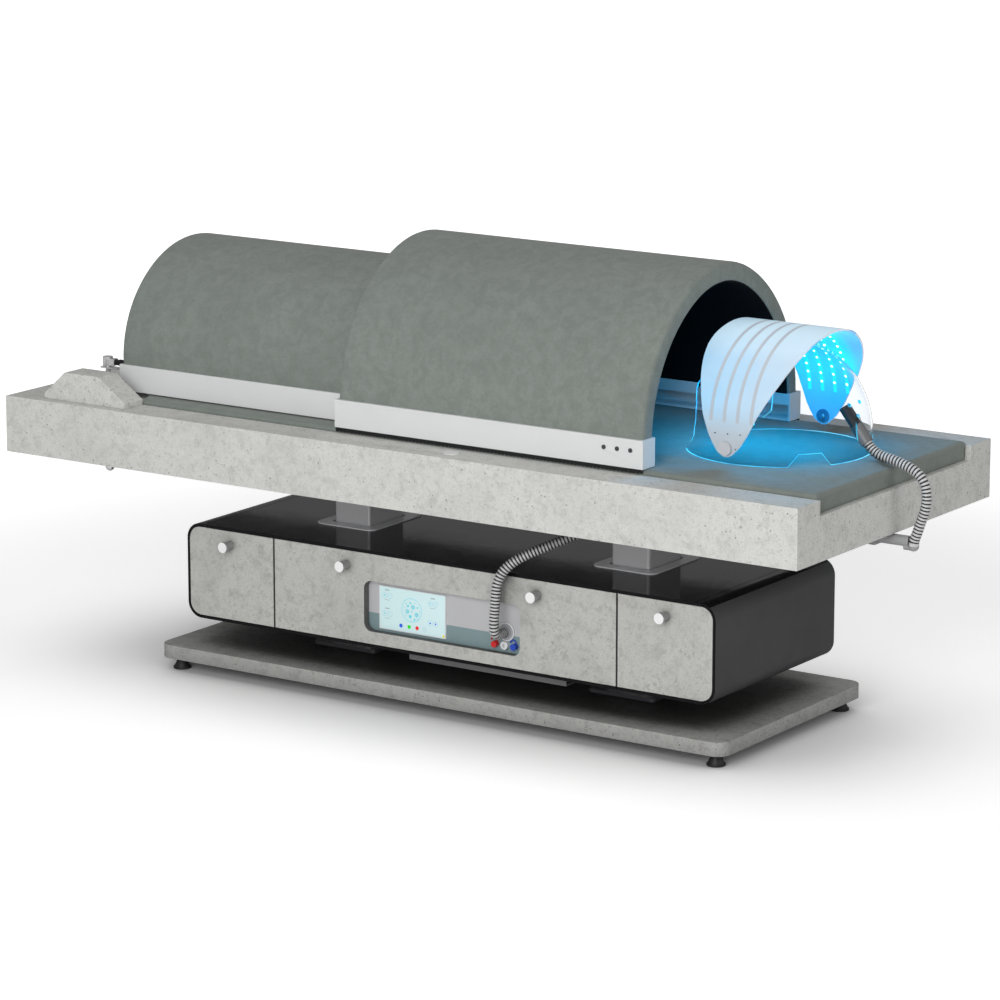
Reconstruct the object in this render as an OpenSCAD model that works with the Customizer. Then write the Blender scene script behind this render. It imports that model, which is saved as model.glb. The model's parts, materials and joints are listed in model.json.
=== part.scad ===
// Spa bed: a height-adjustable treatment table on a cabinet, with two telescoping
// upholstered domes, a clear head hood with a light visor, and two ribbed hoses.
// Lengths are millimetres. X runs along the bed towards the head end, Z is up and the
// floor is at zero. Places along X are written from the middle of the table top, and
// seat() moves the whole bed so that the middle of its length is at zero.

/* [Table] */
// Length of the table top
table_l = 2150; // [2000:10:2300]
// Width of the table top
table_w = 860; // [800:10:920]
// Thickness of the table top
table_t = 134; // [120:1:160]
// Height of the table top above the floor, at its lowest
table_z = 638; // [620:1:680]
// Travel of the electric lift
lift_travel = 300; // [200:10:300]
// Width of the raised rim beside the pad
rim_w = 95; // [80:1:110]
// Depth of the recess that holds the pad
recess_d = 34; // [28:1:40]
// Wall of the hollow table top
slab_wall = 24; // [18:1:30]
// Thickness of the panel that closes the underside
under_t = 12; // [8:1:16]

/* [Pad] */
// Height of the pad's edge above the rim
pad_proud = 10; // [6:0.5:12]
// How much higher the middle of the pad is than its edge
pad_crown = 8.5; // [4:0.5:9]
// Gap between the pad and the recess wall
pad_gap = 3.5; // [2:0.5:5]
// Setback of the pad from the open head end
pad_setback = 12; // [6:1:20]
// How far the sides of the pad draw in
pad_draw = 2.5; // [1:0.5:4]
// Width of the level strip along each side, where the domes run
pad_strip = 98; // [98:1:110]
// Width of the slope from that strip up to the crown
pad_slope = 26; // [20:1:28]

/* [Pedestal] */
// Place of the pedestal's middle along the table
pedestal_x = 52.5; // [0:0.5:80]
// Length of the base plate
base_l = 1553; // [1500:1:1600]
// Width of the base plate
base_w = 624; // [600:1:700]
// Thickness of the base plate
base_t = 32; // [26:1:40]
// Height of the base plate above the floor
base_rise = 30; // [27:0.5:36]
// Corner radius of the base plate
base_r = 35; // [20:1:50]
// Distance of each foot's axis from the edges of the base plate
foot_inset = 40; // [32:1:60]
// Radius of a levelling foot's pad
foot_r = 21; // [16:0.5:26]
// Radius of a levelling foot's threaded stem
foot_stem_r = 8; // [6:0.5:10]

/* [Cabinet] */
// Length of the cabinet
cab_l = 1450; // [1400:5:1500]
// Depth of the cabinet from front to back
cab_w = 520; // [480:5:560]
// Height of the cabinet
cab_h = 228; // [210:1:235]
// Gap between the base plate and the cabinet
cab_gap = 63.5; // [50:0.5:70]
// Outer corner radius of the cabinet's shell
cab_r = 38; // [30:1:45]
// Thickness of the cabinet's shell
cab_wall = 7; // [5:0.5:9]
// Length of each separate end cap
cap_l = 53.6; // [50:0.1:62]
// Thickness of the front and back panels
panel_t = 18; // [15:1:22]
// Gap around each front panel
panel_gap = 2.5; // [1:0.25:3.5]
// Distance from each end of the cabinet to the seam beside its drawer
drawer_l = 254; // [240:1:270]
// Thickness of the upright partitions
partition_t = 10; // [8:1:12]
// Wall of the drawer boxes
drawer_wall = 8; // [6:1:10]
// Depth of the drawer boxes behind their fronts
drawer_d = 422; // [380:1:440]
// Height of the drawer boxes
drawer_h = 150; // [120:1:160]
// Height of the drawer runners
runner_h = 17; // [14:0.5:20]

/* [Knobs] */
// Radius of a knob's face
knob_r = 12.5; // [10:0.5:15]
// Thickness of a knob's face
knob_head = 9; // [7:0.5:12]
// How far a knob stands out from its panel
knob_out = 31; // [26:1:38]
// Radius of a knob's stem
knob_stem_r = 9; // [7:0.5:9.5]
// Radius of the shaft that goes through the panel
knob_shaft_r = 5; // [4:0.5:6]
// Height of the knobs above the cabinet's bottom
knob_z = 187; // [175:1:195]
// Distance of the service front's knobs from its middle
knob_dx = 262; // [240:1:290]

/* [Console] */
// Width of the window in the service front
window_w = 429; // [400:1:440]
// Height of the window
window_h = 119; // [110:1:125]
// Height of the window's lower edge above the cabinet's bottom
window_z = 37.5; // [34:0.5:42]
// Corner radius of the window
window_r = 20; // [14:1:26]
// Width of the touch screen
screen_w = 182; // [160:1:190]
// Height of the touch screen
screen_h = 98; // [90:1:100]
// Distance from the window's edge to the touch screen
screen_x = 30; // [20:1:40]
// Depth of the console's face behind the service front
console_set = 4; // [3:0.5:6]
// Depth of the console's housing
console_d = 92; // [70:1:110]
// Radius of the hose socket's flange
socket_r = 21; // [18:0.5:24]
// Distance from the window's far edge to the hose socket's axis
socket_x = 50; // [45:1:60]
// Height of the hose socket above the window's lower edge
socket_z = 47; // [42:1:56]
// Radius of the dust caps on the small sockets
cap_r = 7.5; // [6:0.5:9]
// Outer radius of the open control socket
jack_r = 9.5; // [7:0.5:10]
// Radius of the control socket's bore
jack_bore_r = 4.5; // [3.5:0.5:5.5]
// Spacing of the small sockets
jack_pitch = 26; // [24:0.5:30]

/* [Lift columns] */
// Distance between the two columns
column_pitch = 769; // [740:1:790]
// Width of the inner column along the bed
column_w = 100; // [90:1:110]
// Depth of the inner column across the bed
column_d = 138; // [120:1:150]
// Wall of every column stage
column_wall = 5.5; // [4:0.5:6]
// Running gap between two column stages
column_gap = 0.5; // [0.3:0.1:1]
// Corner radius of the inner column
column_r = 6; // [4:0.5:8]
// Width of the collar around each column
collar_out = 27; // [20:1:32]
// Thickness of the collars
collar_t = 3; // [2:0.5:5]
// Radius of the actuator's push rod
rod_r = 12; // [9:0.5:14]
// Running gap between the push rod and its tube
rod_gap = 0.06; // [0.02:0.01:0.1]

/* [Large dome] */
// Length of the large dome
dome_l = 820; // [780:5:860]
// Distance from the table's head end to the large dome's
dome_setback = 439; // [425:1:455]
// How far the cover stands back from the skirt's outer face
cover_set = 4.1; // [1.5:0.1:5]
// Thickness of the upholstered cover
cover_t = 42; // [36:0.5:42]
// Thickness of the inner lining
liner_t = 4; // [3:0.5:4]
// Height of the skirt
skirt_h = 63.6; // [58:0.1:66]
// Width of the skirt
skirt_w = 50; // [48:0.5:50]
// How far the skirt's outer face stands out from the recess's edge
skirt_over = 2.5; // [2:0.5:5]
// Thickness of the glide strip under the skirt
glide_t = 1.6; // [1:0.1:2]
// Radius of the skirt's push buttons
button_r = 5; // [4:0.25:6]
// Spacing of the push buttons
button_pitch = 34; // [28:1:40]

/* [Small dome] */
// Length of the small dome
small_l = 731; // [700:1:760]
// Distance from the table's foot end to the small dome's
small_setback = 224; // [220:1:235]
// How far the small dome's cover lies inside the large one's
small_in = 55.4; // [55.4:0.1:60]
// Height of that centre above the large dome's
small_rise = 25.5; // [20:0.5:26]
// Thickness of the small dome's cover
small_cover_t = 38; // [32:0.5:38]
// Width of the small dome's skirt
small_skirt_w = 45; // [40:1:46]

/* [Head unit] */
// Distance from the table's head end to the hood's centre
hood_setback = 297.5; // [290:0.5:305]
// Outer radius of the clear hood
hood_r = 205; // [200:0.5:205.5]
// Wall of the clear hood
hood_t = 4; // [3:0.5:5]
// Height of the hood's straight wall
hood_wall_h = 43; // [35:1:50]
// Distance from the hood's centre to the visor's pivot
visor_back = 8.1; // [4:0.1:12]
// Height of the visor's pivot above the hood's rim
visor_z = 35.5; // [30:0.5:40]
// Outer half width of the visor
visor_a = 213.5; // [213:0.1:215]
// Height of the visor's crown above its side walls
visor_b = 194.3; // [190:0.1:200]
// Wall of the visor
visor_t = 4.5; // [4:0.1:5]
// Radius of the visor's clamp knobs
visor_knob_r = 15.5; // [12:0.5:18]
// Width of a light strip
led_w = 8; // [6:0.5:10]
// Spacing of the light strips
led_pitch = 32.8; // [28:0.1:34]
// Radius of the pivot pins
pivot_r = 4; // [3:0.25:5]
// Radius of the nozzle
nozzle_r = 13.5; // [11:0.5:14]
// Radius of the hose cuff on the nozzle
cuff_r = 15; // [14.5:0.5:17]
// Slope of the nozzle
nozzle_tilt = 51.6; // [45:0.1:58]

/* [Hoses] */
// Outer radius of the ribbed hoses
hose_r = 11.6; // [10:0.1:12.5]
// Radius in the groove between two ribs
groove_r = 9.9; // [9:0.1:10.5]
// Radius of the hoses' bore
hose_bore_r = 8; // [7:0.1:8.5]
// Spacing of the ribs
rib_pitch = 7.6; // [7:0.1:12]
// Length of the plain part at each end of a hose
hose_cuff = 4; // [3:0.5:14]

/* [Small parts] */
// Length of the stop block at its foot
block_l = 240; // [200:1:260]
// Width of the stop block
block_w = 68; // [60:1:70]
// Height of the stop block
block_h = 68; // [60:1:74]
// Radius of the latch post
post_r = 6; // [5:0.25:7]
// Radius of the round nut below the post
nut_r = 11; // [8:0.5:14]
// Length of that nut above its round end
nut_l = 45; // [20:1:50]
// Radius of the call button
call_r = 20; // [16:0.5:24]
// Travel of the call button
call_travel = 2; // [1:0.1:3]

/* [Hidden] */
$fn = 96;
clear = 0.3;               // Standing gap between pieces of different bodies
run_gap = 0.05;            // Radial gap of a pin or shaft in its bore
merge = 0.01;              // Overlap of two solids that are joined

// Levels
base_z = base_rise + base_t;
cab_z = base_z + cab_gap;
cab_top = cab_z + cab_h;
table_bot = table_z - table_t;
recess_z = table_z - recess_d;
pad_edge_z = table_z + pad_proud;
pad_mid_z = pad_edge_z + pad_crown;
deck_z = recess_z - slab_wall;
frame_z = table_bot + under_t;
skirt_z = pad_edge_z + clear + glide_t;
dome_z = skirt_z + skirt_h;
arch_z = dome_z - 16.3;
small_arch_z = arch_z + small_rise;
hood_z = pad_mid_z + clear;
ball_z = hood_z + hood_wall_h;
pivot_z = hood_z + visor_z;

// Table
half_l = table_l / 2;
half_w = table_w / 2;
recess_y = half_w - rim_w;
recess_x = half_l - rim_w;
ledge_x = half_l - 283;        // Corner ledge that carries the latch post
ledge_slope = 45;
ledge_y = 236;
pad_y = recess_y - pad_gap;
pad_end = half_l - pad_setback;
pad_foot = recess_x - pad_gap;

// Pedestal and cabinet
cab_x0 = pedestal_x - cab_l / 2;
cab_in = cab_l / 2 - cab_wall;
cab_y = cab_w / 2;
floor_z = cab_z + cab_wall;
seam_dx = cab_l / 2 - drawer_l;
front_back_y = cab_y - panel_t;    // Back face of the front panels, as a distance
knob_height = cab_z + knob_z;
win_x0 = pedestal_x - window_w / 2;
win_x1 = pedestal_x + window_w / 2;
win_z0 = cab_z + window_z;
console_y = front_back_y - console_set;
console_rim = 14;
hose_sx = win_x1 - socket_x;
hose_sz = win_z0 + socket_z;
jack_z = win_z0 + 16;
foot_dx = base_l / 2 - foot_inset;
foot_dy = base_w / 2 - foot_inset;

// Columns
mid_w = column_w + 2 * (column_gap + column_wall);
mid_d = column_d + 2 * (column_gap + column_wall);
out_w = mid_w + 2 * (column_gap + column_wall);
out_d = mid_d + 2 * (column_gap + column_wall);
stage_r = column_r + column_gap + column_wall;
flange_t = 8;
stage_z = base_z + flange_t;       // Underside of the column tubes
column_x = [pedestal_x - column_pitch / 2, pedestal_x + column_pitch / 2];

// Head unit
hood_x = half_l - hood_setback;
visor_x = hood_x - visor_back;
lobe_z = pivot_z + 47.5;           // Where the visor's side walls begin to curve in
led_z = lobe_z + 10;
led_t = 1.6;
led_x0 = visor_x - 35.4;
knob_z0 = 8;                       // Thickness of the clamp knobs
washer_r = 15.5;
cuff_mid = [hood_x + sqrt(pow(hood_r, 2) - pow(13.5, 2)), 0, ball_z + 13.5];
nozzle_dir = [cos(nozzle_tilt), 0, -sin(nozzle_tilt)];
cuff_end = cuff_mid + 26 * nozzle_dir;
cuff_back = 20;
tip_out = 68;

// Large and small domes
dome_x = half_l - dome_setback;
small_x = -(half_l - small_setback);
skirt_y = recess_y + skirt_over;
dome_a = skirt_y - cover_set;      // Half width of the cover at the skirt
dome_rs = dome_a + 30;             // Radius of its side curves
dome_b = dome_a + 24;              // Height of its crown above their centre
small_a = dome_a - small_in;
small_rs = small_a - 28;
small_b = small_a - 14;
dome_foot = dome_x - dome_l;
wall_t = cover_t + liner_t;
small_skirt_y = small_a + 2;
button_z = dome_z - 24.1;
button_x = dome_x - 99.7;

// Stop block, latch, bracket
block_x = -(half_l - 97);
block_side = 13;
block_y = -(recess_y + 0.6);
latch_x = -(half_l - 175);
latch_y = -262;
latch_z = dome_z - 1.5;
call_x = 162;
call_y = -(half_w - 54);
pipe_r = 12;
elbow_x = half_l + 42;
pipe_z = table_bot - 15;
rest_z = pipe_z - 9;               // Underside of the head hose
rest_r = hose_r + 0.7;             // Room for the hose's end beside the bracket's arm
pipe_foot = half_l - 180;
seat_x = -(elbow_x + pipe_r - half_l) / 2;

// Routes of the two hoses
port = [400, -138];
head_route = [cuff_end + 0.1 * nozzle_dir, cuff_end + [10.2, 0, -10.4], cuff_end + [22.3, 0, -18.3],
    cuff_end + [35.8, 0, -23.5], [elbow_x - 52, 0, 663], [elbow_x - 31, 0, 657.4], [elbow_x - 11, 0, 650],
    [elbow_x + 7, 0, 640], [elbow_x + 20.5, 0, 625.5], [elbow_x + 28, 0, 606], [elbow_x + 29.3, 0, 583],
    [elbow_x + 25, 0, 559.5], [elbow_x + 16.5, 0, 535], [elbow_x + 8.5, 0, 511], [elbow_x + 2, 0, 493],
    [elbow_x, 0, rest_z + 0.1]];
supply_route = [[217, -246.1, 210], [217, -268, 210], [218, -286, 217], [220, -294, 238],
    [222, -294, 270], [224, -293, 305], [227, -290, 335], [238, -281, 362], [258, -266, 384],
    [286, -246, 402], [318, -222, 418], [350, -196, 434], [378, -166, 449], [396, -144, 466],
    [400, -138, 482], [400, -138, 497.9]];

// Puts the bed's own middle at zero along X
module seat() {
    translate([seat_x, 0, 0]) children();
}

// A rectangle with round corners, centred
module round_rect(w, h, r) {
    square([w - 2 * r, h], center = true);
    square([w, h - 2 * r], center = true);
    for (sx = [-1, 1], sy = [-1, 1]) translate([sx * (w / 2 - r), sy * (h / 2 - r)]) circle(r, $fn = 48);
}

// A box from one corner to the other
module box(a, b) {
    translate(a) cube(b - a);
}

// Raises a profile drawn across the bed, with Y to its right and Z up, along X
module along(x0, x1) {
    translate([x0, 0, 0]) rotate([90, 0, 90]) linear_extrude(x1 - x0) children();
}

// Raises a profile drawn in X and Z along Y
module across(y0, y1) {
    translate([0, y1, 0]) rotate([90, 0, 0]) linear_extrude(y1 - y0) children();
}

// The part of a ring from radius r - t1 to r - t0 that lies in the wedge between two angles
module ring_sector(r, t0, t1, from, to) {
    far = 2 * r;
    mid = (from + to) / 2;
    intersection() {
        difference() {
            circle(r - t0, $fn = 160);
            circle(r - t1, $fn = 160);
        }
        polygon([[0, 0], far * [cos(from), sin(from)], far * [cos(mid), sin(mid)], far * [cos(to), sin(to)]]);
    }
}

// A wall in the shape of an arch of three arcs, from t0 to t1 inside its outer line, above the
// level z0. Its side curves have the radius rs and their centres at the height zc, and its crown
// is b above that.
module arch_wall(a, b, rs, zc, t0, t1, z0) {
    h = (pow(rs - a, 2) - pow(rs - b, 2)) / (2 * (rs - b));
    lean = atan2(abs(h), abs(a - rs));
    intersection() {
        union() {
            for (s = [0, 1]) mirror([s, 0]) translate([a - rs, zc]) ring_sector(rs, t0, t1, -30, lean);
            translate([0, zc + h]) ring_sector(b - h, t0, t1, lean, 180 - lean);
        }
        translate([-2 * a, z0]) square([4 * a, 4 * b]);
    }
}

// Turns a cylinder towards the outside along Y, for the near side at s = -1
module side_pin(x, z, y0, y1, r, s) {
    translate([x, s * y0, z]) rotate([-s * 90, 0, 0]) cylinder(r = r, h = y1 - y0);
}

// Base

module base_plate() {
    color([0.72, 0.72, 0.70]) difference() {
        translate([pedestal_x, 0, base_rise]) linear_extrude(base_t) round_rect(base_l, base_w, base_r);
        for (sx = [-1, 1], sy = [-1, 1])
            translate([pedestal_x + sx * foot_dx, sy * foot_dy, base_rise - 1])
                cylinder(r = foot_stem_r + run_gap, h = base_t - 6);
    }
}

module levelling_foot(sx, sy) {
    cone_h = base_rise - 5.5;
    color([0.06, 0.06, 0.06]) translate([pedestal_x + sx * foot_dx, sy * foot_dy, 0]) {
        cylinder(r = foot_r, h = 5);
        translate([0, 0, 5 - merge]) cylinder(r1 = foot_r - 2, r2 = foot_stem_r + 2, h = cone_h - 5);
        cylinder(r = foot_stem_r, h = base_z - 8);
        translate([0, 0, cone_h - 1]) cylinder(r = foot_stem_r + 2, h = base_rise - cone_h + 0.7);
    }
}

// The cabinet's outline, s inside its outer face
module cabinet_outline(s) {
    translate([pedestal_x, cab_z + cab_h / 2]) round_rect(cab_l - 2 * s, cab_h - 2 * s, cab_r - s);
}

// The shell of the cabinet between two places along X
module cabinet_shell(x0, x1) {
    across(-cab_y, cab_y) intersection() {
        difference() {
            cabinet_outline(0);
            cabinet_outline(cab_wall);
        }
        translate([x0, 0]) square([x1 - x0, cab_top + 10]);
    }
}

module column_holes(gap) {
    for (x = column_x) translate([x, 0, cab_z - 20]) linear_extrude(cab_h + 40)
        square([out_w + gap, out_d + gap], center = true);
}

module cabinet_top() {
    color([0.05, 0.05, 0.055]) difference() {
        intersection() {
            cabinet_shell(cab_x0 + cap_l + 0.2, cab_x0 + cab_l - cap_l - 0.2);
            box([-half_l, -half_w, cab_z + cab_h / 2], [half_l, half_w, cab_top + 10]);
        }
        column_holes(1);
    }
}

module cabinet_bottom() {
    color([0.05, 0.05, 0.055]) difference() {
        intersection() {
            cabinet_shell(cab_x0 + cap_l + 0.2, cab_x0 + cab_l - cap_l - 0.2);
            box([-half_l, -half_w, cab_z - 10], [half_l, half_w, cab_z + cab_h / 2]);
        }
        column_holes(1);
    }
}

module cabinet_cap_foot() {
    color([0.09, 0.09, 0.095]) cabinet_shell(cab_x0, cab_x0 + cap_l);
}

module cabinet_cap_head() {
    color([0.09, 0.09, 0.095]) cabinet_shell(cab_x0 + cab_l - cap_l, cab_x0 + cab_l);
}

// A panel inside the shell, from x0 to x1
module panel(x0, x1, y0, y1) {
    across(y0, y1) intersection() {
        cabinet_outline(cab_wall + panel_gap / 2);
        translate([x0, cab_z]) square([x1 - x0, cab_h]);
    }
}

module cabinet_back() {
    color([0.72, 0.72, 0.70]) panel(cab_x0, cab_x0 + cab_l, front_back_y, cab_y);
}

// Upright partitions, their rear and lower ties, and the drawer runners
module cabinet_frame() {
    color([0.45, 0.45, 0.47]) {
        for (s = [-1, 1]) {
            px = pedestal_x + s * seam_dx;
            box([px - partition_t / 2, -front_back_y + clear, floor_z],
                [px + partition_t / 2, front_back_y, cab_top - cab_wall]);
            for (rx = [px + s * 30, px + s * (drawer_l - 48)])
                box([rx - 7, -front_back_y + 4, floor_z], [rx + 7, front_back_y - 40, floor_z + runner_h]);
        }
    }
}

module service_front() {
    color([0.72, 0.72, 0.70]) difference() {
        panel(pedestal_x - seam_dx + panel_gap, pedestal_x + seam_dx - panel_gap, -cab_y, -front_back_y);
        across(-cab_y - 1, -front_back_y + 1) translate([pedestal_x, win_z0 + window_h / 2])
            round_rect(window_w, window_h, window_r);
        for (s = [-1, 1]) side_pin(pedestal_x + s * knob_dx, knob_height, front_back_y - 1, cab_y + 1,
            knob_shaft_r + run_gap, -1);
    }
}

// A round knob on a shaft, in front of a panel
module knob(x, shaft) {
    color([0.92, 0.92, 0.92]) {
        side_pin(x, knob_height, cab_y + clear, cab_y + knob_out - knob_head + 1, knob_stem_r, -1);
        side_pin(x, knob_height, cab_y + knob_out - knob_head, cab_y + knob_out, knob_r, -1);
        side_pin(x, knob_height, cab_y - shaft, cab_y + 2, knob_shaft_r, -1);
    }
}

// A knob that turns a cam behind the service front
module service_knob(s) {
    knob(pedestal_x + s * knob_dx, panel_t + 8);
    color([0.6, 0.6, 0.62]) across(-front_back_y + 2, -front_back_y + 8)
        translate([pedestal_x + s * knob_dx - 8, knob_height - 8]) square([16, 24]);
}

module console() {
    rim_z0 = win_z0 - console_rim;
    rim_z1 = win_z0 + window_h + console_rim;
    face_y = -console_y;
    color([0.70, 0.70, 0.76]) {
        difference() {
            box([win_x0 - console_rim, -front_back_y, rim_z0],
                [win_x1 + console_rim, -front_back_y + console_d, rim_z1]);
            box([win_x0 - 6, -front_back_y - 1, win_z0 - 6],
                [win_x1 + 6, face_y, win_z0 + window_h + 6]);
        }
        for (x = [win_x0 + 40, win_x1 - 70])
            box([x, -front_back_y + 20, floor_z], [x + 30, -front_back_y + 60, rim_z0 + merge]);
    }
}

module touch_screen() {
    color([0.80, 0.94, 0.94]) box([win_x0 + screen_x, -console_y - 3, win_z0 + 7.5],
        [win_x0 + screen_x + screen_w, -console_y, win_z0 + 7.5 + screen_h]);
}

module console_sockets() {
    color([0.62, 0.62, 0.62]) {
        difference() {
            union() {
                side_pin(hose_sx, hose_sz, console_y, console_y + 4, socket_r, -1);
                side_pin(hose_sx, hose_sz, console_y, console_y + 8, 13, -1);
            }
            side_pin(hose_sx, hose_sz, console_y + 1, console_y + 9, hose_bore_r, -1);
        }
        difference() {
            side_pin(hose_sx - 2, jack_z, console_y, console_y + 9, jack_r, -1);
            side_pin(hose_sx - 2, jack_z, console_y + 3, console_y + 10, jack_bore_r, -1);
        }
    }
}

// Red and blue dust caps on the small sockets, each with its tether
module jack_caps() {
    for (s = [-1, 1]) color(s > 0 ? [0.05, 0.12, 0.75] : [0.8, 0.05, 0.05])
        translate([hose_sx - 2 + s * jack_pitch, 0, jack_z]) {
            side_pin(0, 0, console_y, console_y + 12, cap_r, -1);
            translate([-4, -console_y - 4, 8]) mirror([1, 0, 0]) rotate([90, 0, 0])
                rotate_extrude(angle = 200, $fn = 32) translate([7, 0]) circle(1.6, $fn = 16);
        }
}

// Both columns' tubes of one stage
module column_tube(w, d, r, z0, z1) {
    for (x = column_x) translate([x, 0, z0]) linear_extrude(z1 - z0) difference() {
        round_rect(w, d, r);
        round_rect(w - 2 * column_wall, d - 2 * column_wall, max(r - column_wall, 1));
    }
}

module outer_columns() {
    color([0.55, 0.55, 0.56]) {
        column_tube(out_w, out_d, stage_r + column_gap + column_wall, stage_z - merge, cab_top - 2);
        for (x = column_x) translate([x, 0, base_z]) linear_extrude(flange_t)
            round_rect(out_w + 2 * collar_out, out_d + 2 * collar_out, 12);
    }
}

module mid_columns() {
    color([0.62, 0.62, 0.63]) column_tube(mid_w, mid_d, stage_r, stage_z + 4, cab_top - 1);
}

module inner_columns() {
    color([0.66, 0.66, 0.67]) column_tube(column_w, column_d, column_r, stage_z + 10, frame_z);
}

module actuator_tubes() {
    tube_top = stage_z + lift_travel + 60;
    color([0.2, 0.2, 0.21]) for (x = column_x) translate([x, 0, 0]) difference() {
        translate([0, 0, stage_z]) union() {
            cylinder(r = rod_r + 8, h = tube_top - stage_z);
            translate([-20, -32, 0]) cube([40, 64, 60]);
        }
        translate([0, 0, stage_z + 6]) cylinder(r = rod_r + rod_gap, h = tube_top);
    }
}

module column_collars() {
    hole_w = mid_w + 2 * column_gap;
    hole_d = mid_d + 2 * column_gap;
    color([0.62, 0.62, 0.62]) for (x = column_x) translate([x, 0, cab_top]) linear_extrude(collar_t)
        difference() {
            round_rect(hole_w + 2 * collar_out, hole_d + 2 * (collar_out + 4), 22);
            round_rect(hole_w, hole_d, stage_r);
        }
}

// Thin sheet tray that hangs under the cabinet
module cable_tray() {
    x0 = pedestal_x - 0.091 * cab_l;
    x1 = pedestal_x + 0.2055 * cab_l;
    z0 = cab_z - 32;
    color([0.68, 0.68, 0.68]) {
        box([x0, -198, z0], [x1, 60, z0 + 2.5]);
        box([x0, -198, z0], [x1, -195.5, z0 + 15]);
        for (x = [x0 + 30, x1 - 130])
            box([x, -60, z0], [x + 40, -57, cab_z]);
        for (x = [x0 + 30, x1 - 130])
            box([x, 20, z0], [x + 40, 23, cab_z]);
    }
}

// Drawers, on the side s of the pedestal

module drawer_front(s) {
    a = pedestal_x + s * (seam_dx + panel_gap);
    b = pedestal_x + s * cab_l / 2;
    color([0.72, 0.72, 0.70]) difference() {
        panel(min(a, b), max(a, b), -cab_y, -front_back_y);
        side_pin(pedestal_x + s * (seam_dx + drawer_l / 2), knob_height, front_back_y - 1, cab_y + 1,
            knob_shaft_r, -1);
    }
}

module drawer_box(s) {
    a = pedestal_x + s * (seam_dx + 15);
    b = pedestal_x + s * (seam_dx + drawer_l - 17);
    x0 = min(a, b);
    x1 = max(a, b);
    z0 = floor_z + runner_h + clear;
    color([0.55, 0.55, 0.56]) difference() {
        box([x0, -front_back_y, z0], [x1, -front_back_y + drawer_d, z0 + drawer_h]);
        box([x0 + drawer_wall, -front_back_y + drawer_wall, z0 + drawer_wall],
            [x1 - drawer_wall, -front_back_y + drawer_d - drawer_wall, z0 + drawer_h + 1]);
        side_pin(pedestal_x + s * (seam_dx + drawer_l / 2), knob_height, front_back_y - 40, cab_y,
            knob_shaft_r + 4, -1);
    }
}

module drawer_knob(s) {
    x = pedestal_x + s * (seam_dx + drawer_l / 2);
    color([0.92, 0.92, 0.92]) {
        side_pin(x, knob_height, cab_y, cab_y + knob_out - knob_head + 1, knob_stem_r, -1);
        side_pin(x, knob_height, cab_y + knob_out - knob_head, cab_y + knob_out, knob_r, -1);
        side_pin(x, knob_height, cab_y - panel_t, cab_y + 2, knob_shaft_r, -1);
    }
}

// Table

// Outline of the recess for the pad, grown by g
module recess_outline(g) {
    polygon([[-recess_x - g, ledge_near(g)], [-ledge_x + g * 0.4, ledge_near(g)],
        [-ledge_x + ledge_slope + g * 0.4, -recess_y - g], [half_l + 50, -recess_y - g],
        [half_l + 50, recess_y + g], [-recess_x - g, recess_y + g]]);
}
function ledge_near(g) = -ledge_y - g;

module table_top() {
    color([0.72, 0.72, 0.70]) difference() {
        box([-half_l, -half_w, table_bot], [half_l, half_w, table_z]);
        translate([0, 0, recess_z]) linear_extrude(recess_d + 1) recess_outline(0);
        box([-half_l + slab_wall, -half_w + slab_wall, table_bot - 1],
            [half_l - slab_wall, half_w - slab_wall, deck_z]);
        translate([latch_x, latch_y, table_bot]) cylinder(r = post_r + run_gap, h = table_t + 1);
        translate([call_x, call_y, table_z - 6]) cylinder(r = call_r + clear, h = 7);
        translate([call_x, call_y, deck_z - 1]) cylinder(r = 4 + run_gap, h = table_t);
    }
}

module table_frame() {
    rail_z = frame_z + 14;
    color([0.25, 0.25, 0.26]) {
        for (x = column_x) {
            difference() {
                box([x - 90, -130, frame_z], [x + 90, 130, rail_z + merge]);
                translate([x, 0, frame_z - 1]) cylinder(r = rod_r, h = 20);
            }
            translate([x, 0, stage_z + 10]) cylinder(r = rod_r, h = rail_z - stage_z - 10);
        }
        for (s = [-1, 1]) box([-half_l + 115, s * 100 - 20, rail_z], [half_l - 75, s * 100 + 20, deck_z]);
        for (x = [-half_l + 115, pedestal_x - 20, half_l - 115])
            box([x, -half_w + slab_wall + 6, deck_z - 30], [x + 40, half_w - slab_wall - 6, deck_z]);
    }
}

module table_underside() {
    color([0.35, 0.35, 0.35]) {
        difference() {
            box([-half_l + slab_wall + 0.5, -half_w + slab_wall + 0.5, table_bot],
                [half_l - slab_wall - 0.5, half_w - slab_wall - 0.5, frame_z]);
            for (x = column_x) translate([x, 0, table_bot - 1]) linear_extrude(under_t + 2)
                square([column_w + 1, column_d + 1], center = true);
            translate([latch_x, latch_y, table_bot - 1]) cylinder(r = post_r + run_gap, h = under_t + 2);
            translate([port[0], port[1], table_bot - 1]) cylinder(r = hose_bore_r, h = under_t + 2);
        }
        translate([port[0], port[1], table_bot - 6]) difference() {
            cylinder(r = hose_r + 4, h = 6 + merge);
            translate([0, 0, -1]) cylinder(r = hose_bore_r, h = 8);
        }
    }
}

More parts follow.
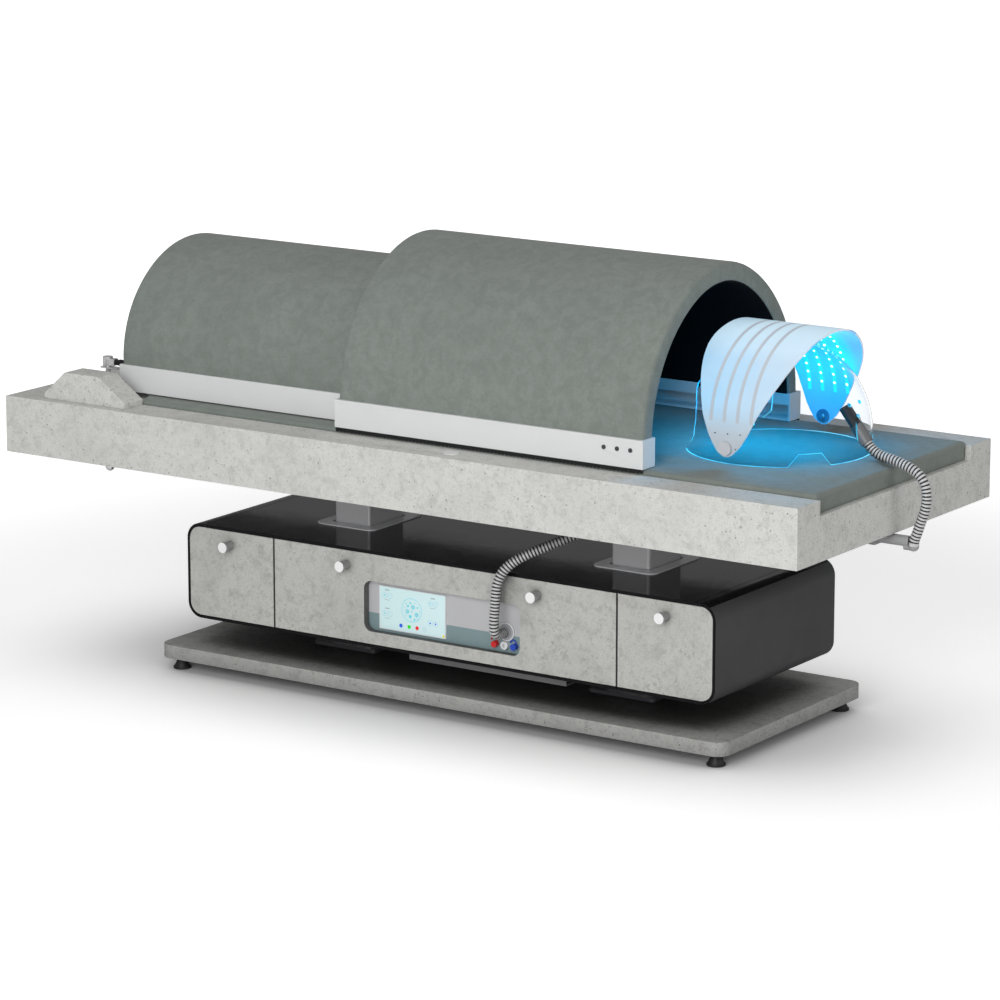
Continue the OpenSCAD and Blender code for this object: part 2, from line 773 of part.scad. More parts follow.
// The pad as a grid: across each station along X runs one row of points
function near_edge(x) = x < -ledge_x - ledge_shift ? -ledge_y + pad_gap
    : x < -ledge_x + ledge_slope - ledge_shift
        ? -ledge_y + pad_gap - (x + ledge_x + ledge_shift) / ledge_slope * (pad_y - ledge_y + pad_gap)
        : -pad_y;
ledge_shift = -pad_gap;
pad_round = 9;                 // Radius of the pad's upper edge
pad_xs = concat([-pad_foot, -pad_foot + 3, -pad_foot + pad_round, -pad_foot + 22, -pad_foot + 50],
    [-ledge_x + pad_gap, -ledge_x + pad_gap + ledge_slope / 2, -ledge_x + pad_gap + ledge_slope],
    [for (i = [1:13]) -ledge_x + pad_gap + ledge_slope
        + i * (pad_end - 100 + ledge_x - pad_gap - ledge_slope) / 13],
    [pad_end - 75, pad_end - 50, pad_end - 28, pad_end - pad_round, pad_end - 3, pad_end]);
pad_half = pad_y * 2;
strip_v = pad_strip / pad_half;
crown_v = (pad_strip + pad_slope) / pad_half;
pad_vs = [0, 0.005, 0.015, 0.06, strip_v, (strip_v + crown_v) / 2, crown_v, 0.34, 0.5, 0.66,
    1 - crown_v, 1 - (strip_v + crown_v) / 2, 1 - strip_v, 0.94, 0.985, 0.995, 1];
function smooth(t) = let (c = min(max(t, 0), 1)) c * c * (3 - 2 * c);
function rounding(d) = d >= pad_round ? 0 : pad_round - sqrt(pow(pad_round, 2) - pow(pad_round - d, 2));
function pad_height(x, y) = let (
        side = min(y - near_edge(x), pad_y - y),
        end = min(x + pad_foot, pad_end - x),
        d = min(side, end),
        rise = min(x + ledge_x - ledge_slope - pad_gap, pad_end - x))
    pad_edge_z - rounding(max(d, 0))
        + pad_crown * smooth((pad_y - abs(y) - pad_strip) / pad_slope)
            * smooth((rise - 12) / pad_slope)
            * smooth((side - 12) / pad_slope);
module pad() {
    n = len(pad_xs);
    m = len(pad_vs);
    bottom_z = recess_z + clear;
    function row_y(x, v) = near_edge(x) + v * (pad_y - near_edge(x));
    top = [for (x = pad_xs) for (v = pad_vs) [x, row_y(x, v), pad_height(x, row_y(x, v))]];
    low = [for (x = pad_xs) for (v = pad_vs) [x, row_y(x, v), bottom_z]];
    rim = concat([for (i = [0:n - 1]) i * m], [for (j = [1:m - 1]) (n - 1) * m + j],
        [for (i = [1:n - 1]) (n - 1 - i) * m + m - 1], [for (j = [1:m - 2]) m - 1 - j]);
    mid_z = (bottom_z + pad_edge_z) / 2;
    mid_x = (pad_end - pad_foot) / 2;
    waist = [for (k = rim) let (p = top[k])
        [p[0] - sign(p[0] - mid_x) * (abs(p[0] - mid_x) > pad_end - mid_x - 1 ? pad_draw : 0),
         p[1] - sign(p[1]) * (abs(p[1]) > ledge_y - 10 ? pad_draw : 0), mid_z]];
    k = len(rim);
    w0 = 2 * n * m;
    color([0.46, 0.49, 0.47]) polyhedron(points = concat(top, low, waist), faces = concat(
        [for (i = [0:n - 2]) for (j = [0:m - 2]) for (f = [0, 1]) f == 0
            ? [i * m + j, i * m + j + 1, (i + 1) * m + j] : [i * m + j + 1, (i + 1) * m + j + 1, (i + 1) * m + j]],
        [for (i = [0:n - 2]) for (j = [0:m - 2]) for (f = [0, 1]) let (o = n * m) f == 0
            ? [o + i * m + j, o + (i + 1) * m + j, o + i * m + j + 1]
            : [o + i * m + j + 1, o + (i + 1) * m + j, o + (i + 1) * m + j + 1]],
        [for (q = [0:k - 1]) for (f = [0:3]) let (a = rim[q], b = rim[(q + 1) % k], u = w0 + q,
            v = w0 + (q + 1) % k, o = n * m)
            f == 0 ? [a, b, u] : f == 1 ? [b, v, u] : f == 2 ? [u, v, o + a] : [v, o + b, o + a]]));
}

module stop_block() {
    color([0.72, 0.72, 0.70]) across(block_y - block_w, block_y)
        polygon([[block_x, table_z], [block_x, table_z + block_side],
            [block_x + 62, table_z + block_h], [block_x + block_l - 78, table_z + block_h],
            [block_x + block_l, table_z + block_side], [block_x + block_l, table_z]]);
}

// Chrome post through the table, its clamp head and the nut below
module latch_post() {
    color([0.85, 0.85, 0.87]) translate([latch_x, latch_y, 0]) {
        translate([0, 0, table_bot - 10]) cylinder(r = post_r, h = latch_z - table_bot + 10);
        translate([0, 0, table_z]) cylinder(r = 14, h = 4);
        translate([0, 0, table_bot - nut_l]) sphere(r = nut_r);
        translate([0, 0, table_bot - nut_l]) cylinder(r = nut_r, h = nut_l);
        difference() {
            union() {
                translate([0, 0, latch_z - 10]) cylinder(r = 12, h = 22);
                translate([0, -8, latch_z - 8]) cube([24, 16, 16]);
                translate([-16, -9, latch_z - 16]) cube([52, 18, 4]);
            }
            translate([10, 0, latch_z]) rotate([0, 90, 0]) cylinder(r = 4 + run_gap, h = 30);
        }
    }
}

// Black knurled screw that holds the small dome
module latch_screw() {
    screw_end = small_x - clear - latch_x;
    color([0.05, 0.05, 0.05]) translate([latch_x, latch_y, latch_z]) rotate([0, 90, 0]) {
        translate([0, 0, 11]) cylinder(r = 4, h = screw_end - 11);
        translate([0, 0, 24 + clear]) cylinder(r = 7, h = screw_end - 26);
    }
}

module call_button() {
    color([0.9, 0.9, 0.9]) translate([call_x, call_y, 0]) {
        translate([0, 0, table_z - 6 + call_travel + clear]) cylinder(r = call_r, h = 6 - clear);
        translate([0, 0, deck_z + 6]) cylinder(r = 4, h = table_z - deck_z - 8);
    }
}

// A hollow arm under the table, with a round cap that the hose's end stands on
module hose_bracket() {
    color([0.80, 0.80, 0.80]) {
        difference() {
            union() {
                translate([pipe_foot, 0, pipe_z]) rotate([0, 90, 0])
                    cylinder(r = pipe_r, h = elbow_x - pipe_foot);
                translate([elbow_x, 0, rest_z]) sphere(r = pipe_r);
                translate([elbow_x - 22, 0, rest_z - 3]) rotate([0, 90, 0]) cylinder(r = 8, h = 22);
            }
            translate([elbow_x, 0, rest_z]) cylinder(r = rest_r, h = 40);
            box([elbow_x - 9, -20, rest_z], [elbow_x + 20, 20, rest_z + 40]);
            translate([pipe_foot - 1, 0, pipe_z]) rotate([0, 90, 0])
                cylinder(r = hose_bore_r, h = elbow_x - pipe_foot - 14.5);
            translate([elbow_x - 19, 0, rest_z - 5]) cylinder(r = 3, h = 12);
            translate([elbow_x - 19, 0, rest_z - 5]) rotate([0, 90, 0]) cylinder(r = 3, h = 19);
            translate([elbow_x, 0, rest_z - 8.5]) cylinder(r = 5.5, h = 10);
        }
        for (x = [pipe_foot + 20, half_l - 60]) difference() {
            box([x, -18, pipe_z - pipe_r - 3], [x + 16, 18, table_bot]);
            translate([x - 1, 0, pipe_z]) rotate([0, 90, 0]) cylinder(r = pipe_r - merge, h = 20);
        }
    }
}

// Ribbed hoses

// A point on the smooth line through the route's points
function curve_at(p, u) = let (i = min(floor(u), len(p) - 2), t = u - i,
        a = p[max(i - 1, 0)], b = p[i], c = p[i + 1], d = p[min(i + 2, len(p) - 1)])
    0.5 * (2 * b + (c - a) * t + (2 * a - 5 * b + 4 * c - d) * t * t + (3 * b - a - 3 * c + d) * t * t * t);
function unit(v) = v / norm(v);
function hose_line(p) = [for (k = [0:12 * (len(p) - 1)]) curve_at(p, k / 12)];
function run_lengths(q, i = 0, s = 0) = i >= len(q) - 1 ? [s]
    : concat([s], run_lengths(q, i + 1, s + norm(q[i + 1] - q[i])));
function place_at(q, s, x) = let (i = max([for (k = [0:len(q) - 2]) s[k] <= x ? k : 0]),
        t = (x - s[i]) / max(s[i + 1] - s[i], 0.001)) q[i] + t * (q[i + 1] - q[i]);
function hose_ring(q, s, x, r, side, ends) = let (e = s[len(s) - 1],
        c = place_at(q, s, x),
        t = x <= 0 ? ends[0] : x >= e ? ends[1]
            : unit(place_at(q, s, min(x + 1, e)) - place_at(q, s, max(x - 1, 0))),
        u = unit(cross(t, side)), w = cross(t, u))
    [for (k = [0:7]) c + r * (cos(45 * k) * u + sin(45 * k) * w)];

// A hose with a rib at every pitch, plain cuffs and an open bore. It starts and ends square to the
// two directions in ends.
module ribbed_hose(route, side, ends) {
    q = hose_line(route);
    s = run_lengths(q);
    l = s[len(s) - 1];
    cuff = hose_cuff;
    ribs = floor((l - 2 * cuff) / rib_pitch);
    gap = (l - 2 * cuff) / ribs;
    outer = concat([[0, hose_r], [cuff - 1.5, hose_r]],
        [for (i = [0:ribs - 1]) for (f = [0, 1]) [cuff + (i + 0.25 + 0.5 * f) * gap, f == 0 ? groove_r : hose_r]],
        [[l - cuff + 1.5, hose_r], [l, hose_r]]);
    inner = concat([0, cuff], [for (i = [1:ribs - 1]) cuff + i * gap], [l - cuff, l]);
    pts = concat([for (o = outer) each hose_ring(q, s, o[0], o[1], side, ends)],
        [for (x = inner) each hose_ring(q, s, x, hose_bore_r, side, ends)]);
    n = len(outer);
    m = len(inner);
    o = 8 * n;
    polyhedron(points = pts, faces = concat(
        [for (i = [0:n - 2]) for (k = [0:7]) for (f = [0, 1]) let (a = 8 * i + k, b = 8 * i + (k + 1) % 8)
            f == 0 ? [a, b, a + 8] : [b, b + 8, a + 8]],
        [for (i = [0:m - 2]) for (k = [0:7]) for (f = [0, 1]) let (a = o + 8 * i + k, b = o + 8 * i + (k + 1) % 8)
            f == 0 ? [a, a + 8, b] : [b, a + 8, b + 8]],
        [for (k = [0:7]) for (f = [0, 1]) let (j = (k + 1) % 8) f == 0 ? [k, o + k, j] : [j, o + k, o + j]],
        [for (k = [0:7]) for (f = [0, 1]) let (j = (k + 1) % 8, a = 8 * (n - 1), b = o + 8 * (m - 1))
            f == 0 ? [a + k, a + j, b + k] : [a + j, b + j, b + k]]));
    echo(str("hose of ", round(l), " mm with ", ribs, " ribs"));
}

module head_hose() {
    color([0.80, 0.80, 0.80]) ribbed_hose(head_route, [0, 1, 0], [nozzle_dir, [0, 0, -1]]);
}

module supply_hose() {
    color([0.80, 0.80, 0.80]) ribbed_hose(supply_route, [1, 0, 0], [[0, -1, 0], [0, 0, 1]]);
}

// Head unit

// The hood as a solid, s inside its outer face
module hood_solid(s) {
    translate([hood_x, 0, ball_z]) intersection() {
        sphere(r = hood_r - s, $fn = 128);
        cylinder(r = hood_r, h = hood_r);
    }
    translate([hood_x, 0, hood_z - (s > 0 ? 1 : 0)])
        cylinder(r = hood_r - s, h = hood_wall_h + (s > 0 ? 1 : 0) + merge, $fn = 128);
}

module along_nozzle(from) {
    translate(cuff_mid + from * nozzle_dir) rotate([0, 90 + nozzle_tilt, 0]) children();
}

module hood() {
    front = hood_x - hood_r;
    color([0.75, 0.92, 1.0, 0.35]) difference() {
        hood_solid(0);
        hood_solid(hood_t);
        across(-hood_r - 1, hood_r + 1) polygon([[front - 10, hood_z - 1], [hood_x - 165, hood_z - 1],
            [hood_x - 155, hood_z + 14], [hood_x - 132, hood_z + 26], [hood_x - 118, hood_z + 42],
            [hood_x - 114, hood_z + 78], [hood_x - 122, hood_z + 110], [hood_x - 137, hood_z + 128],
            [hood_x - 162, hood_z + 145], [front - 10, hood_z + 162]]);
        for (s = [-1, 1]) translate([hood_x, 0, hood_z]) rotate([0, 0, s * 40.4]) rotate([90, 0, 90])
            linear_extrude(hood_r + 10) polygon([[-50, -1], [50, -1], [26, 28], [-26, 28]]);
        for (h = [[22, 77], [-22, 77], [0, 51]]) translate([hood_x + 100, h[0], ball_z + h[1]])
            rotate([0, 90, 0]) cylinder(r = 4, h = hood_r);
        along_nozzle(-40) cylinder(r = cuff_r + run_gap, h = 80);
        for (s = [-1, 1]) side_pin(visor_x, pivot_z, hood_r - 20, hood_r + 5, pivot_r, s);
    }
}

// A washer and a pin on each side carry the visor
module hood_pivots() {
    pin_in = sqrt(pow(hood_r, 2) - pow(hood_x - visor_x, 2));
    color([0.30, 0.42, 0.52]) for (s = [-1, 1]) {
        difference() {
            side_pin(visor_x, pivot_z, pin_in - 1.5, visor_a - visor_t - clear, washer_r, s);
            hood_solid(0);
        }
        side_pin(visor_x, pivot_z, pin_in - hood_t - 2, visor_a + 3, pivot_r, s);
    }
}

module nozzle_cuff() {
    color([0.45, 0.44, 0.44]) difference() {
        along_nozzle(-cuff_back) cylinder(r = cuff_r, h = cuff_back + 26);
        along_nozzle(-cuff_back - 1) cylinder(r = 9 + run_gap, h = 19);
        along_nozzle(-cuff_back + 17) cylinder(r = hose_bore_r, h = 50);
    }
}

module nozzle_tip() {
    color([0.18, 0.18, 0.19]) difference() {
        union() {
            along_nozzle(-tip_out) cylinder(r = nozzle_r, h = tip_out - cuff_back - clear);
            along_nozzle(-cuff_back - 2) cylinder(r = 9, h = 17);
        }
        along_nozzle(-tip_out - 1) cylinder(r = 6.5, h = tip_out + 10);
    }
}

// Half of the visor's outline seen from the front, s inside its outer face
module visor_profile(s, z0) {
    steps = 40;
    translate([0, lobe_z]) polygon(concat([[visor_a - s, z0 - lobe_z]],
        [for (k = [0:steps]) [(visor_a - s) * cos(180 * k / steps), (visor_b - s) * sin(180 * k / steps)]],
        [[-visor_a + s, z0 - lobe_z]]));
}

// The visor's outline seen from the side
module visor_fan() {
    foot = [for (k = [0:10]) 20 * [cos(-130 + 9 * k), sin(-130 + 9 * k)]];
    translate([visor_x, pivot_z]) polygon(concat(foot,
        [[32, 3], [51, 31], [72, 71], [93, 108], [113, 146], [124, 171], [133, 194], [141, 217],
            [147, 232], [149, 243], [-101, 243], [-103, 223], [-101, 206], [-94, 181], [-84, 150],
            [-72, 115], [-60, 69], [-44, 26], [-34, 8], [-23, -9]]));
}

module visor_shell() {
    color([0.93, 0.96, 0.99]) difference() {
        intersection() {
            along(visor_x - visor_a, visor_x + visor_a) difference() {
                visor_profile(0, pivot_z - 30);
                visor_profile(visor_t, pivot_z - 31);
            }
            across(-visor_a - 5, visor_a + 5) visor_fan();
        }
        for (s = [-1, 1]) side_pin(visor_x, pivot_z, visor_a - 20, visor_a + 5, pivot_r + run_gap, s);
    }
}

// Four strips of lights on the visor's inner face
module visor_leds() {
    color([0.55, 0.95, 1.0]) for (i = [0:3])
        along(led_x0 + i * led_pitch - led_w / 2, led_x0 + i * led_pitch + led_w / 2) intersection() {
            difference() {
                visor_profile(visor_t, pivot_z);
                visor_profile(visor_t + led_t, pivot_z - 1);
            }
            translate([-visor_a, led_z]) square([2 * visor_a, visor_b]);
        }
}

module visor_knob(s) {
    color([0.82, 0.82, 0.84]) difference() {
        side_pin(visor_x, pivot_z, visor_a + clear, visor_a + knob_z0, visor_knob_r, s);
        side_pin(visor_x, pivot_z, visor_a, visor_a + 4, pivot_r + run_gap, s);
    }
}

// Domes

module large_cover() {
    color([0.46, 0.49, 0.47]) along(dome_foot + 5, dome_x - 5)
        arch_wall(dome_a, dome_b, dome_rs, arch_z, 0, cover_t, dome_z);
}

module large_liner() {
    color([0.03, 0.03, 0.03]) along(dome_foot + 9, dome_x - 9)
        arch_wall(dome_a, dome_b, dome_rs, arch_z, cover_t, wall_t, dome_z);
}

// Channel of the skirt on the +Y side, y1 at its outer face, w wide
module skirt_profile(y1, w, z0) {
    flange = w > 46 ? 27 : 24;
    difference() {
        translate([y1 - w, z0]) square([w, dome_z - z0]);
        translate([y1 - w - 1, z0 + 6]) square([w - 6, dome_z - z0 - flange - 6]);
        translate([y1 - w + 5, z0 + skirt_h - flange - 1]) square([w - 10, flange - 4]);
    }
}

module skirt(x0, x1, y1, w, z0) {
    along(x0, x1) skirt_profile(y1, w, z0);
    for (x = [x0, x1 - 5]) along(x, x + 5) translate([y1 - w, z0]) square([w, dome_z - z0]);
}

module large_skirts() {
    color([0.93, 0.93, 0.93]) difference() {
        for (s = [0, 1]) mirror([0, s, 0]) skirt(dome_foot, dome_x, skirt_y, skirt_w, skirt_z);
        for (i = [0:2]) side_pin(button_x + i * button_pitch, button_z, skirt_y - 8, skirt_y + 1,
            button_r + run_gap, -1);
    }
}

// Ribbed wiper outside each skirt and a flat glide under it
module glides(x0, x1, y1, w, z0) {
    color([0.04, 0.04, 0.04]) for (s = [0, 1]) mirror([0, s, 0])
        box([x0 + 10, y1 - w + 12, pad_edge_z + clear], [x1 - 10, y1 - 8, z0]);
}

wiper_y = skirt_y - 3.6;
wiper_z = table_z + 2.4;
module large_glides() {
    glides(dome_foot, dome_x, skirt_y, skirt_w, skirt_z);
    rib = 10;
    color([0.04, 0.04, 0.04]) for (s = [0, 1]) mirror([0, s, 0]) {
        box([dome_foot + 2, wiper_y, wiper_z + 1.2], [dome_x - 2, skirt_y - 0.8, skirt_z]);
        for (i = [0:floor((dome_l - 12) / rib)])
            box([dome_foot + 4 + i * rib, wiper_y, wiper_z], [dome_foot + 9 + i * rib, skirt_y, skirt_z]);
    }
}

module small_cover() {
    color([0.46, 0.49, 0.47]) along(small_x + 5, small_x + small_l - 5)
        arch_wall(small_a, small_b, small_rs, small_arch_z, 0, small_cover_t, dome_z);
}

module small_liner() {
    color([0.03, 0.03, 0.03]) along(small_x + 9, small_x + small_l - 9)
        arch_wall(small_a, small_b, small_rs, small_arch_z, small_cover_t, small_cover_t + liner_t, dome_z);
}

module small_skirts() {
    color([0.93, 0.93, 0.93]) for (s = [0, 1]) mirror([0, s, 0])
        skirt(small_x, small_x + small_l, small_skirt_y, small_skirt_w, skirt_z + 1);
}

module small_glides() {
    glides(small_x, small_x + small_l, small_skirt_y, small_skirt_w, skirt_z + 1);
}

// A sprung push button in the near skirt
module push_button(i) {
    color([0.15, 0.15, 0.16])
        side_pin(button_x + i * button_pitch, button_z, skirt_y - 6, skirt_y + 1.5, button_r, -1);
}

seat() base_plate();
seat() cabinet_top();
seat() cabinet_bottom();
seat() cabinet_cap_foot();
seat() cabinet_cap_head();
seat() cabinet_back();
seat() cabinet_frame();
seat() service_front();
seat() console();
seat() touch_screen();
seat() console_sockets();
seat() jack_caps();
seat() outer_columns();
seat() actuator_tubes();
seat() column_collars();
seat() cable_tray();
seat() levelling_foot(-1, -1);  // foot_near_foot
seat() levelling_foot(1, -1);  // foot_near_head
seat() levelling_foot(-1, 1);  // foot_far_foot
seat() levelling_foot(1, 1);  // foot_far_head
seat() drawer_front(-1);  // drawer_foot_front
seat() drawer_box(-1);  // drawer_foot_box
seat() drawer_knob(-1);  // drawer_foot_knob
seat() drawer_front(1);  // drawer_head_front
seat() drawer_box(1);  // drawer_head_box
seat() drawer_knob(1);  // drawer_head_knob
seat() service_knob(-1);  // service_knob_foot
seat() service_knob(1);  // service_knob_head
seat() mid_columns();
seat() inner_columns();
seat() table_frame();
seat() table_top();
seat() table_underside();
seat() pad();
seat() stop_block();
seat() latch_post();
seat() latch_screw();
seat() call_button();
seat() hose_bracket();
seat() head_hose();
seat() supply_hose();
seat() hood();
seat() hood_pivots();
seat() nozzle_cuff();
seat() nozzle_tip();
seat() visor_shell();
seat() visor_leds();
seat() visor_knob(-1);  // visor_knob_near
seat() visor_knob(1);  // visor_knob_far
seat() large_cover();
seat() large_liner();
seat() large_skirts();
seat() large_glides();
seat() push_button(0);  // button_one
seat() push_button(1);  // button_two
seat() push_button(2);  // button_three
seat() small_cover();
seat() small_liner();
seat() small_skirts();
seat() small_glides();
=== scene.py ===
import json
import math

import bmesh
import bpy
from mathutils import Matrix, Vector, noise

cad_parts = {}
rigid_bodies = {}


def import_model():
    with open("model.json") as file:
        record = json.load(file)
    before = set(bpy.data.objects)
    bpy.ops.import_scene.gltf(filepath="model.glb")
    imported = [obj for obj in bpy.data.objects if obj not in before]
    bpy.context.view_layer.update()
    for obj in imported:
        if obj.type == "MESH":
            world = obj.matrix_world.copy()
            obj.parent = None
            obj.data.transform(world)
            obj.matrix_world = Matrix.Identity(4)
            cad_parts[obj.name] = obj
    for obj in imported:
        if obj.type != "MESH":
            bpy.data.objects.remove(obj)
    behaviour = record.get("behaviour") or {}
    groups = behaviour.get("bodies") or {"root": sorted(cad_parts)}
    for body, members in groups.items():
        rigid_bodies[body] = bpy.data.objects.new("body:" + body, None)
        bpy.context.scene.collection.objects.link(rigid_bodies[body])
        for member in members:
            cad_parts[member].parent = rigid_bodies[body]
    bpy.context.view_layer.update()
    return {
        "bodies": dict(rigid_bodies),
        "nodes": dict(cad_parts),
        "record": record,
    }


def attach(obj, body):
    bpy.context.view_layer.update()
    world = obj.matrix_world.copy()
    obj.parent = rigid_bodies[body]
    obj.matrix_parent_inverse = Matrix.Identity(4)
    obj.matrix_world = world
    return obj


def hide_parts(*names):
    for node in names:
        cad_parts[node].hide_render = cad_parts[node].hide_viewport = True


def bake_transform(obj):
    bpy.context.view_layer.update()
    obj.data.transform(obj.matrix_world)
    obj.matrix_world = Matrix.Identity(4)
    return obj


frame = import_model()
nodes = frame["nodes"]
bodyOf = {n: body for body, names in frame["record"]["behaviour"]["bodies"].items() for n in names}
seatX = -0.027  # the table's middle lies this far from the bed's own middle
print("stage: frame loaded with", len(nodes), "nodes")


def place(x, y, z):  # the table's own millimetres, as in the part's source
    return Vector((x / 1000 + seatX, y / 1000, z / 1000))


def smooth(t):
    t = min(max(t, 0.0), 1.0)
    return t * t * (3 - 2 * t)


def linked(thing):
    bpy.context.scene.collection.objects.link(thing)
    return thing


# Camera, at the photograph's place

cameraSizes = {"place": (5.40646, -7.99225, 2.61813), "down": 12.6951, "turn": 34.0228, "lens": 154.668,
               "sensor": 36, "far": 200}
cameraData = bpy.data.cameras.new("photoCamera")
cameraData.sensor_fit = "HORIZONTAL"
cameraData.sensor_width = cameraSizes["sensor"]
cameraData.lens = cameraSizes["lens"]
cameraData.clip_end = cameraSizes["far"]
camera = linked(bpy.data.objects.new("photoCamera", cameraData))
camera.location = cameraSizes["place"]
camera.rotation_euler = (math.radians(90 - cameraSizes["down"]), 0, math.radians(cameraSizes["turn"]))
bpy.context.scene.camera = camera


# Shader helpers


def addNode(tree, kind, inputs=None, **settings):
    node = tree.nodes.new(kind)
    for key, value in settings.items():
        setattr(node, key, value)
    for key, value in (inputs or {}).items():
        if isinstance(value, bpy.types.NodeSocket):
            tree.links.new(value, node.inputs[key])
        else:
            node.inputs[key].default_value = value
    return node


def feed(node, **sockets):  # links sockets to the inputs that they name, with _ for a space
    for label, socket in sockets.items():
        node.id_data.links.new(socket, node.inputs[label.replace("_", " ")])


def mathOf(tree, operation, *values):
    return addNode(tree, "ShaderNodeMath", dict(enumerate(values)), operation=operation).outputs[0]


def times(tree, a, b):
    return mathOf(tree, "MULTIPLY", a, b)


def highest(tree, top, *others):
    for other in others:
        top = mathOf(tree, "MAXIMUM", top, other)
    return top


def ramp(tree, value, low, high, toLow=0.0, toHigh=1.0):
    inputs = {0: value, 1: low, 2: high, 3: toLow, 4: toHigh}
    return addNode(tree, "ShaderNodeMapRange", inputs, interpolation_type="SMOOTHSTEP").outputs[0]


def mixColour(tree, factor, a, b, blend="MIX"):
    colours = [(*c, 1) if isinstance(c, tuple) else c for c in (a, b)]
    inputs = {0: factor, 6: colours[0], 7: colours[1]}
    return addNode(tree, "ShaderNodeMix", inputs, data_type="RGBA", blend_type=blend).outputs[2]


def noiseOf(tree, vector, scale, detail=3.0, rough=0.5, distortion=0.0):
    inputs = {"Vector": vector, "Scale": scale, "Detail": detail, "Roughness": rough, "Distortion": distortion}
    return addNode(tree, "ShaderNodeTexNoise", inputs).outputs[0]


def maskOf(tree, vector, scale, detail, rough, distortion, *ends):  # a noise cut down to a mask
    return ramp(tree, noiseOf(tree, vector, scale, detail, rough, distortion), *ends)


def placeOf(tree):
    return addNode(tree, "ShaderNodeTexCoord").outputs["Object"]


def axesOf(tree):
    return addNode(tree, "ShaderNodeSeparateXYZ", {0: placeOf(tree)}).outputs


socketKinds = {"colour": "NodeSocketColor", "value": "NodeSocketFloat"}


def newShaderGroup(name, inputs):
    tree = bpy.data.node_groups.new(name, "ShaderNodeTree")
    for label, kind, value in inputs:
        socket = tree.interface.new_socket(label, in_out="INPUT", socket_type=socketKinds[kind])
        socket.default_value = value
    for label, kind in (("Colour", "colour"), ("Roughness", "value"), ("Height", "value")):
        tree.interface.new_socket(label, in_out="OUTPUT", socket_type=socketKinds[kind])
    return tree, tree.nodes.new("NodeGroupInput").outputs


def closeGroup(tree, *sockets):
    sink = tree.nodes.new("NodeGroupOutput")
    for label, socket in zip(("Colour", "Roughness", "Height"), sockets):
        tree.links.new(socket, sink.inputs[label])
    return tree


concreteLook = {  # a noise's scale, detail, roughness and distortion, then its mask's two ends
    "mottle": (34.0, 7, 0.72, 0.4, 0.46, 0.68), "smudge": (120.0, 5, 0.7, 0.5, 0.53, 0.66),
    "scratch": (150.0, 4, 0.6, 0.2, 0.63, 0.74), "crowd": (11.0, 3, 0.6, 0.0, 0.40, 0.66, 0.5, 1.0),
    "patch": (5, 0.6, 0.4, 0.42, 0.72), "grain": (420.0, 3, 0.6), "grainEnds": (0.38, 0.66),
    "drawnTurn": (0.0, math.radians(14), math.radians(6)), "drawnScale": (0.16, 0.5, 1.0),
    "shares": {"mottle": 0.46, "grain": 0.32, "scratch": 0.30, "smudge": 0.75},
    "pores": ((34.0, 0.11, 0.66), (80.0, 0.18, 0.60), (160.0, 0.26, 0.62)),  # scale, radius, left out
    "poreEdge": 0.04, "poreCore": 0.7, "poreShade": (0.34, 0.34, 0.33),
    "rough": {"least": 0.5, "mottle": 0.12, "grain": 0.2}, "relief": 0.35}


def buildConcreteGroup():
    look = concreteLook
    shares, roughShares = look["shares"], look["rough"]
    tree, given = newShaderGroup("castConcrete", [
        ("Light", "colour", (0.6, 0.6, 0.58, 1)), ("Dark", "colour", (0.4, 0.4, 0.38, 1)),
        ("Patch Scale", "value", 6.0), ("Patch Amount", "value", 0.3), ("Pore Amount", "value", 1.0)])
    at = placeOf(tree)
    drawn = addNode(tree, "ShaderNodeMapping", {
        "Vector": at, "Rotation": look["drawnTurn"], "Scale": look["drawnScale"]}).outputs[0]
    grain = noiseOf(tree, at, *look["grain"])
    mottle = maskOf(tree, at, *look["mottle"])
    crowd = maskOf(tree, at, *look["crowd"])
    base = given["Light"]
    for mask, share in (
            (maskOf(tree, at, given["Patch Scale"], *look["patch"]), given["Patch Amount"]),
            (mottle, shares["mottle"]), (ramp(tree, grain, *look["grainEnds"]), shares["grain"]),
            (maskOf(tree, drawn, *look["scratch"]), shares["scratch"]),
            (times(tree, maskOf(tree, at, *look["smudge"]), crowd), shares["smudge"])):
        base = mixColour(tree, times(tree, mask, share), base, given["Dark"])
    pores = []
    for scale, radius, leftOut in look["pores"]:
        cells = addNode(tree, "ShaderNodeTexVoronoi", {"Vector": at, "Scale": scale}).outputs
        chosen = ramp(tree, cells["Color"], leftOut, leftOut + look["poreEdge"])
        spot = ramp(tree, cells["Distance"], radius * look["poreCore"], radius, 1.0, 0.0)
        pores.append(times(tree, chosen, spot))
    pore = times(tree, times(tree, highest(tree, *pores), crowd), given["Pore Amount"])
    deep = mixColour(tree, 1.0, given["Dark"], look["poreShade"], "MULTIPLY")
    rough = mathOf(tree, "ADD", times(tree, mottle, roughShares["mottle"]), times(tree, grain, roughShares["grain"]))
    return closeGroup(tree, mixColour(tree, pore, base, deep), mathOf(tree, "ADD", rough, roughShares["least"]),
                      mathOf(tree, "SUBTRACT", times(tree, grain, look["relief"]), pore))


grainLook = {"fine": (2, 0.5), "wide": (9.0, 4, 0.6, 0.4), "fineShare": 0.4, "wideShare": 0.6, "ends": (0.3, 0.7),
             "dark": (0.55, 0.55, 0.57), "wear": 0.12}


